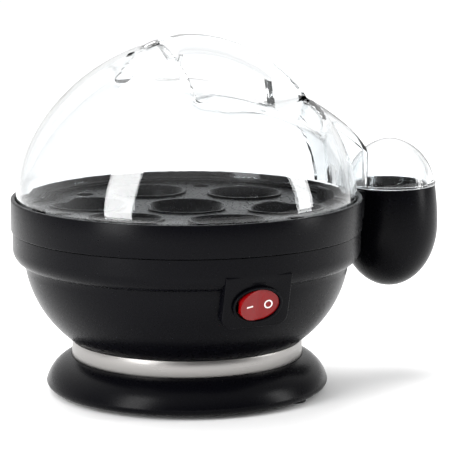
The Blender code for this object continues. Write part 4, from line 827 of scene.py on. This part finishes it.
def softly_lower(a, b, ease):
    """The lower of two heights, blended where they are close."""
    mix = min(max(0.5 + 0.5 * (b - a) / ease, 0.0), 1.0)
    return a * mix + b * (1 - mix) - ease * mix * (1 - mix)


def sunk(piece):
    """Sinks a dome's points into the finger recesses."""
    for vertex in piece.data.vertices:
        x = vertex.co.x - AXIS_X
        if vertex.co.z > DOME_Z + 0.2 * DOME_HEIGHT:
            vertex.co.z = softly_lower(vertex.co.z, recess_height(x, vertex.co.y), RECESS_EASE)
    piece.data.update()


def nose_ridge(x):
    share = (x - NOSE_ROOT) / (NOSE_END - NOSE_ROOT)
    root = dome_height(NOSE_ROOT)
    end = DOME_TOP_Z - NOSE_END_DROP
    return root + (end - root) * (0.75 * share + 0.25 * share * abs(share))


def nose_solid(name, shrink):
    """The nose without its hollow end, or with shrink the space inside its wall."""
    half = NOSE_HALF_WIDTH - shrink
    low = RIM_Z + NOSE_LIFT - (5 * MM if shrink else 0.0)
    first = NOSE_ROOT - NOSE_OVERLAP
    rings = []
    for station in range(15):
        x = first + (NOSE_END - first) * station / 14
        ring = [(AXIS_X + x, -half, low)]
        for step in range(25):
            y = -half + 2 * half * step / 24
            corner = NOSE_CORNER * (abs(y) / half) ** 12
            height = nose_ridge(x) - shrink - NOSE_ARCH * (y / NOSE_HALF_WIDTH) ** 2 - corner
            ring.append((AXIS_X + x, y, height))
        ring.append((AXIS_X + x, half, low))
        rings.append(ring)
    nose = skinned(name, rings)
    radius = HOLDER_RADIUS + NOSE_CLEARANCE + shrink
    space = cylinder("cup_space", radius, RIM_Z - 10 * MM, DOME_TOP_Z, (AXIS_X + HOLDER_X, 0), 128)
    combine(nose, space, "DIFFERENCE")
    return nose


def make_bar():
    """The handle bar with its webs, as one rounded body along x."""
    inside = CLEAR_WALL / 2
    stations = 44
    rings = []
    for station in range(stations + 1):
        x = HANDLE_LEFT + (HANDLE_RIGHT - HANDLE_LEFT) * station / stations
        top = handle_top(x) if 0 < station < stations else dome_height(x) - inside
        if WINDOW_LEFT <= x <= WINDOW_RIGHT:
            low = top - HANDLE_DEPTH
        else:
            low = recess_floor(x) - inside
            if x < WINDOW_LEFT:
                low = max(low, min(recess_height(x, 0.0), dome_height(x)) - inside)
        low = min(low, top - 0.5 * MM)
        ring = []
        sides = 24
        for corner in range(sides):
            angle = 2 * math.pi * (corner + 0.5) / sides
            across = math.copysign(abs(math.cos(angle)) ** 0.35, math.cos(angle))
            up = math.copysign(abs(math.sin(angle)) ** 0.35, math.sin(angle))
            middle = (top + low) / 2
            ring.append((AXIS_X + x, HANDLE_HALF_WIDTH * across, middle + (top - low) / 2 * up))
        rings.append(ring)
    return skinned("bar", rings)


def make_lid(surface):
    rim = LID_SEAT_Z + GAP
    outer_profile = [(0, rim), (LID_RADIUS, rim)] + dome_profile(LID_RADIUS, DOME_Z, DOME_HEIGHT, 72)
    outer = lathe("lid_shell_fine", outer_profile, sides=LID_SIDES)
    sunk(outer)
    inner_profile = [(0, rim - MM), (LID_RADIUS - CLEAR_WALL, rim - MM)]
    inner_profile += dome_profile(LID_RADIUS - CLEAR_WALL, DOME_Z, DOME_HEIGHT, 72)
    inner = lathe("lid_inside", inner_profile, sides=LID_SIDES)
    sunk(inner)
    for vertex in inner.data.vertices:
        if vertex.co.z > DOME_Z:
            vertex.co.z -= CLEAR_WALL * min(1.0, (vertex.co.z - DOME_Z) / (10 * MM))
    nose = nose_solid("nose", 0.0)
    combine(nose, nose_solid("nose_hollow", CLEAR_WALL), "DIFFERENCE")
    trim_radius = LID_RADIUS - MM
    trim_profile = [(0, rim - 10 * MM), (trim_radius, rim - 10 * MM)]
    trim_profile += dome_profile(trim_radius, DOME_Z, DOME_HEIGHT - MM, 48)
    trim = lathe("nose_trim", trim_profile, sides=ROUND_SIDES)
    combine(nose, trim, "DIFFERENCE")
    combine(outer, inner, "DIFFERENCE")
    combine(outer, nose, "UNION", "MANIFOLD")
    combine(outer, make_bar(), "UNION", "MANIFOLD")
    vent_low = DOME_Z + DOME_HEIGHT / 2
    vent_place = (AXIS_X - VENT_OFFSET, 0)
    vent = cylinder("vent", VENT_RADIUS, vent_low, DOME_TOP_Z + 5 * MM, vent_place, HOLE_SIDES)
    combine(outer, vent, "DIFFERENCE", "MANIFOLD")
    smooth(outer, 32)
    placed(outer, "lid", "clear_plastic", surface, "lid_shell")


# Holder and cup


def make_holder(surface):
    centre = (AXIS_X + HOLDER_X, 0.0)
    widest = HOLDER_RIM_Z - HOLDER_UPPER_HEIGHT
    outside = []
    for step in range(12):
        rise = HOLDER_UPPER_HEIGHT * (1 - step / 12)
        outside.append((HOLDER_RADIUS * math.sqrt(1 - (rise / HOLDER_UPPER_CURVE) ** 2), widest + rise))
    for step in range(25):
        angle = math.pi / 2 * step / 24
        radius = HOLDER_RADIUS * math.cos(angle) if step < 24 else 0.0
        outside.append((radius, widest - HOLDER_BELLY_DEPTH * math.sin(angle)))
    floor = widest - HOLDER_BELLY_DEPTH * HOLLOW_DEPTH_SHARE
    inside = [(radius - HOLDER_WALL, height) for radius, height in outside if height > floor + MM]
    profile = outside + [(0, floor), (inside[-1][0] - MM, floor)] + list(reversed(inside)) + [outside[0]]
    holder = lathe("cup_holder_fine", profile, centre, ROUND_SIDES)
    neck = block(
        "neck",
        (AXIS_X + LID_SEAT_RADIUS, -NECK_HALF_WIDTH, HOLDER_RIM_Z - NECK_DROP - NECK_HEIGHT),
        (AXIS_X + HOLDER_X - HOLDER_RADIUS * NECK_REACH_SHARE, NECK_HALF_WIDTH, HOLDER_RIM_Z - NECK_DROP),
    )
    rounded(neck, 1.2 * MM)
    space = cylinder("ring_space", BAND_RADIUS + GAP, 50 * MM, 150 * MM, (AXIS_X, 0), FINE_SIDES)
    combine(neck, space, "DIFFERENCE")
    above = 110 * MM
    pocket_profile = [(0, floor + MM)] + list(reversed(inside)) + [(inside[0][0], above), (0, above)]
    pocket = lathe("pocket", pocket_profile, centre, ROUND_SIDES)
    combine(neck, pocket, "DIFFERENCE")
    combine(holder, neck, "UNION")
    smooth(holder, 30)
    placed(holder, "cooker", "black_plastic", surface, "cup_holder")


def make_cup(surface):
    centre = (AXIS_X + HOLDER_X, 0.0)
    seat = HOLDER_RIM_Z + GAP
    flange_top = seat + CUP_FLANGE_THICKNESS
    mouth = HOLDER_RADIUS * math.sqrt(1 - (HOLDER_UPPER_HEIGHT / HOLDER_UPPER_CURVE) ** 2)
    skirt = mouth - HOLDER_WALL - PLAY
    height = CUP_HIGH.z - flange_top
    outer = dome_profile(CUP_RADIUS, flange_top, height, 32)
    inner = dome_profile(skirt - CUP_WALL, flange_top, height - CUP_WALL, 32)
    flange = CUP_RADIUS + CUP_FLANGE
    profile = [(skirt, seat - CUP_SKIRT), (skirt, seat), (flange, seat), (flange, flange_top)] + outer
    profile += list(reversed(inner)) + [(skirt - CUP_WALL, seat - CUP_SKIRT), (skirt, seat - CUP_SKIRT)]
    cup = lathe("measuring_cup_fine", profile, centre, ROUND_SIDES)
    rounded(cup, 0.25 * MM, 2, 50)
    smooth(cup)
    placed(cup, "cup", "clear_plastic", surface, "measuring_cup")


# Switch


def make_switch(black, red, white):
    half_width = ROCKER_HALF_WIDTH + 2 * PLAY
    half_height = ROCKER_HALF_HEIGHT + PLAY
    case_width = half_width + SWITCH_WALL
    case = oval_block("switch_frame_fine", case_width, half_height + SWITCH_WALL, -GAP - MM, SWITCH_DEPTH)
    grown = SWITCH_WALL + BEZEL_WIDTH
    bezel = oval_block("bezel", half_width + grown, half_height + grown, -GAP - BEZEL_THICKNESS, -GAP)
    combine(case, bezel, "UNION")
    well = oval_block("well", half_width, half_height, -5 * MM, SWITCH_DEPTH - SWITCH_BACK)
    combine(case, well, "DIFFERENCE")
    rounded(case, 0.3 * MM, 3)
    moved(case, panel_matrix())
    smooth(case)
    placed(case, "cooker", "black_plastic", black, "switch_frame")

    pivot = panel_matrix() @ Matrix.Translation((0, PIVOT_DEPTH, -SWITCH_DROP))
    pivot = pivot @ Matrix.Rotation(ROCKER_ANGLE, 4, "Z")
    valley = -PIVOT_DEPTH - ROCKER_VALLEY
    slope = math.tan(ROCKER_ANGLE)
    tall = ROCKER_HALF_HEIGHT + 2 * MM
    face = []
    for step in range(25):
        x = -ROCKER_HALF_WIDTH + 2 * ROCKER_HALF_WIDTH * step / 24
        face.append((x, valley - slope * (math.sqrt(x * x + ROCKER_EASE**2) - ROCKER_EASE)))
    outline = face + [(ROCKER_HALF_WIDTH * 0.86, ROCKER_DEPTH / 2), (3 * MM, ROCKER_DEPTH)]
    outline += [(-3 * MM, ROCKER_DEPTH), (-ROCKER_HALF_WIDTH * 0.86, ROCKER_DEPTH / 2)]
    rocker = skinned("switch_rocker_fine", [[(x, y, z) for x, y in outline] for z in (-tall, tall)])
    rim = oval_block("rocker_rim", ROCKER_HALF_WIDTH, ROCKER_HALF_HEIGHT, -20 * MM, 20 * MM)
    moved(rim, Matrix.Translation((0, 0, SWITCH_DROP)))
    combine(rocker, rim, "INTERSECT")
    rounded(rocker, 0.35 * MM, 3, 50)
    moved(rocker, pivot)
    smooth(rocker, 30)
    placed(rocker, "rocker", "red_plastic", red, "switch_rocker")

    depth = valley - slope * MARK_OFFSET
    bar_low = (-MARK_OFFSET - MARK_RADIUS, -0.12 * MM, -MARK_LINE)
    bar_high = (-MARK_OFFSET + MARK_RADIUS, 0.25 * MM, MARK_LINE)
    bar = block("switch_mark_on", bar_low, bar_high)
    rounded(bar, 0.1 * MM, 2)
    lean = Matrix.Translation((-MARK_OFFSET, depth, 0)) @ Matrix.Rotation(ROCKER_ANGLE, 4, "Z")
    lean = lean @ Matrix.Translation((MARK_OFFSET, 0, 0))
    moved(bar, pivot @ lean)
    placed(bar, "rocker", "red_plastic", white)
    bpy.ops.object.select_all(action="DESELECT")
    bpy.ops.mesh.primitive_torus_add(
        major_radius=MARK_RADIUS,
        minor_radius=MARK_LINE,
        major_segments=48,
        minor_segments=12,
        rotation=(math.pi / 2, 0, 0),
    )
    circle = bpy.context.object
    circle.name = "switch_mark_off"
    bpy.ops.object.transform_apply(location=True, rotation=True, scale=True)
    flat = Matrix.Diagonal((1, 0.5, 1, 1))
    leant = pivot @ Matrix.Translation((MARK_OFFSET, depth, 0)) @ Matrix.Rotation(-ROCKER_ANGLE, 4, "Z")
    moved(circle, leant @ flat)
    smooth(circle, 60)
    placed(circle, "rocker", "red_plastic", white)


# Stage


CAMERA_ANGLE = math.radians(23.3)
CAMERA_DISTANCE = 1.2
CAMERA_HEIGHT = 0.2953
CAMERA_PITCH = math.radians(9.94)
CAMERA_YAW = math.radians(0.935)
CAMERA_LENS = 190.4

# The room's brightness: at its front, at its back, and what its ceiling adds
WORLD_DIM = 0.10
WORLD_BACK = 1.05
WORLD_ABOVE = 0.8

# Where each of them starts and is full, from -1 to 1 across the sky
BACK_STARTS = -0.15
BACK_FULL = 0.55
ABOVE_STARTS = 0.3
ABOVE_FULL = 0.75

FLOOR_RADIUS = 12
LIGHTS_AIM_HEIGHT = 0.1

# Each light's name, place, width and height in metres, and power in watts
SOFTBOXES = (
    ("left softbox", (-1.15, -0.45, 0.55), 0.45, 1.1, 20),
    ("right softbox", (1.3, -0.75, 0.5), 0.35, 0.9, 12),
    ("top softbox", (0.0, 0.5, 1.6), 1.2, 0.9, 22),
)


def make_camera():
    data = bpy.data.cameras.new("camera")
    data.lens = CAMERA_LENS
    data.sensor_width = 36
    camera = bpy.data.objects.new("camera", data)
    back = Vector((-math.sin(CAMERA_ANGLE), -math.cos(CAMERA_ANGLE), 0)) * CAMERA_DISTANCE
    camera.location = Vector((AXIS_X, 0, CAMERA_HEIGHT)) + back
    camera.rotation_euler = (math.pi / 2 - CAMERA_PITCH, 0, -CAMERA_ANGLE - CAMERA_YAW)
    bpy.context.scene.collection.objects.link(camera)
    bpy.context.scene.camera = camera


def softbox(name, at, toward, width, height, power):
    data = bpy.data.lights.new(name, "AREA")
    data.shape = "RECTANGLE"
    data.size = width
    data.size_y = height
    data.energy = power
    light = bpy.data.objects.new(name, data)
    light.location = at
    light.rotation_euler = (Vector(toward) - Vector(at)).to_track_quat("-Z", "Y").to_euler()
    bpy.context.scene.collection.objects.link(light)


def studio_world():
    """Bright behind and above the object and dim in front of it, so that black plastic keeps its depth."""
    world = bpy.data.worlds.new("studio")
    world.use_nodes = True
    tree = world.node_tree
    background = tree.nodes["Background"]
    place = add(tree, "ShaderNodeTexCoord")
    parts = add(tree, "ShaderNodeSeparateXYZ", links={"Vector": (place, "Generated")})
    back = add(
        tree,
        "ShaderNodeMapRange",
        {"From Min": BACK_STARTS, "From Max": BACK_FULL, "To Min": WORLD_DIM, "To Max": WORLD_BACK},
        {"Value": (parts, "Y")},
    )
    above = add(
        tree,
        "ShaderNodeMapRange",
        {"From Min": ABOVE_STARTS, "From Max": ABOVE_FULL, "To Min": 0.0, "To Max": WORLD_ABOVE},
        {"Value": (parts, "Z")},
    )
    both = add(tree, "ShaderNodeMath", {"operation": "ADD"}, {0: (back, "Result"), 1: (above, "Result")})
    tree.links.new(both.outputs["Value"], background.inputs["Strength"])
    background.inputs["Color"].default_value = (1, 1, 1, 1)
    return world


def make_stage():
    bpy.ops.object.select_all(action="DESELECT")
    bpy.ops.mesh.primitive_circle_add(vertices=64, radius=FLOOR_RADIUS, fill_type="NGON")
    floor = bpy.context.object
    floor.name = "floor"
    floor.data.materials.append(pale_board())
    bpy.context.scene.world = studio_world()
    middle = (AXIS_X, 0, LIGHTS_AIM_HEIGHT)
    for name, place, width, height, power in SOFTBOXES:
        softbox(name, place, middle, width, height, power)
    bpy.context.scene.view_settings.view_transform = "Standard"


def finish_cad_nodes(finishes):
    """Gives each CAD node that stays its material, by the record's slots."""
    slots = {part["node"]: part["material_slot"] for part in frame["record"]["subparts"]}
    for node, item in frame["nodes"].items():
        surface = finishes[slots[node]]
        item.data.materials.clear()
        item.data.materials.append(surface)


def main():
    finishes = {
        "black_plastic": black_polypropylene(),
        "matte_black_plastic": textured_black(),
        "clear_plastic": clear_styrene(),
        "brushed_steel": brushed_steel(),
        "screw_steel": zinc(),
        "sheet_steel": galvanised(),
        "heater_sheath": heater_sheath(),
        "silicone": silicone(),
        "rubber": black_rubber(),
        "ceramic": ceramic(),
        "red_plastic": red_polycarbonate(),
        "lamp_glass": lamp_glass(),
        "brass": brass(),
        "white_nylon": white_nylon(),
        "brown_insulation": insulation("brown silicone insulation", "#70431f"),
        "blue_insulation": insulation("blue silicone insulation", "#2c5aa0"),
    }
    make_camera()
    make_stage()
    finish_cad_nodes(finishes)
    make_ring(finishes["black_plastic"])
    make_bowl(finishes["black_plastic"])
    make_steel_band(finishes["brushed_steel"])
    make_base(finishes["black_plastic"])
    make_feet(finishes["rubber"])
    make_gland(finishes["rubber"])
    make_tray(finishes["black_plastic"])
    make_plate(spun_steel())
    make_holder(finishes["black_plastic"])
    make_cup(finishes["clear_plastic"])
    make_switch(finishes["black_plastic"], finishes["red_plastic"], white_print())
    make_lid(finishes["clear_plastic"])


main()
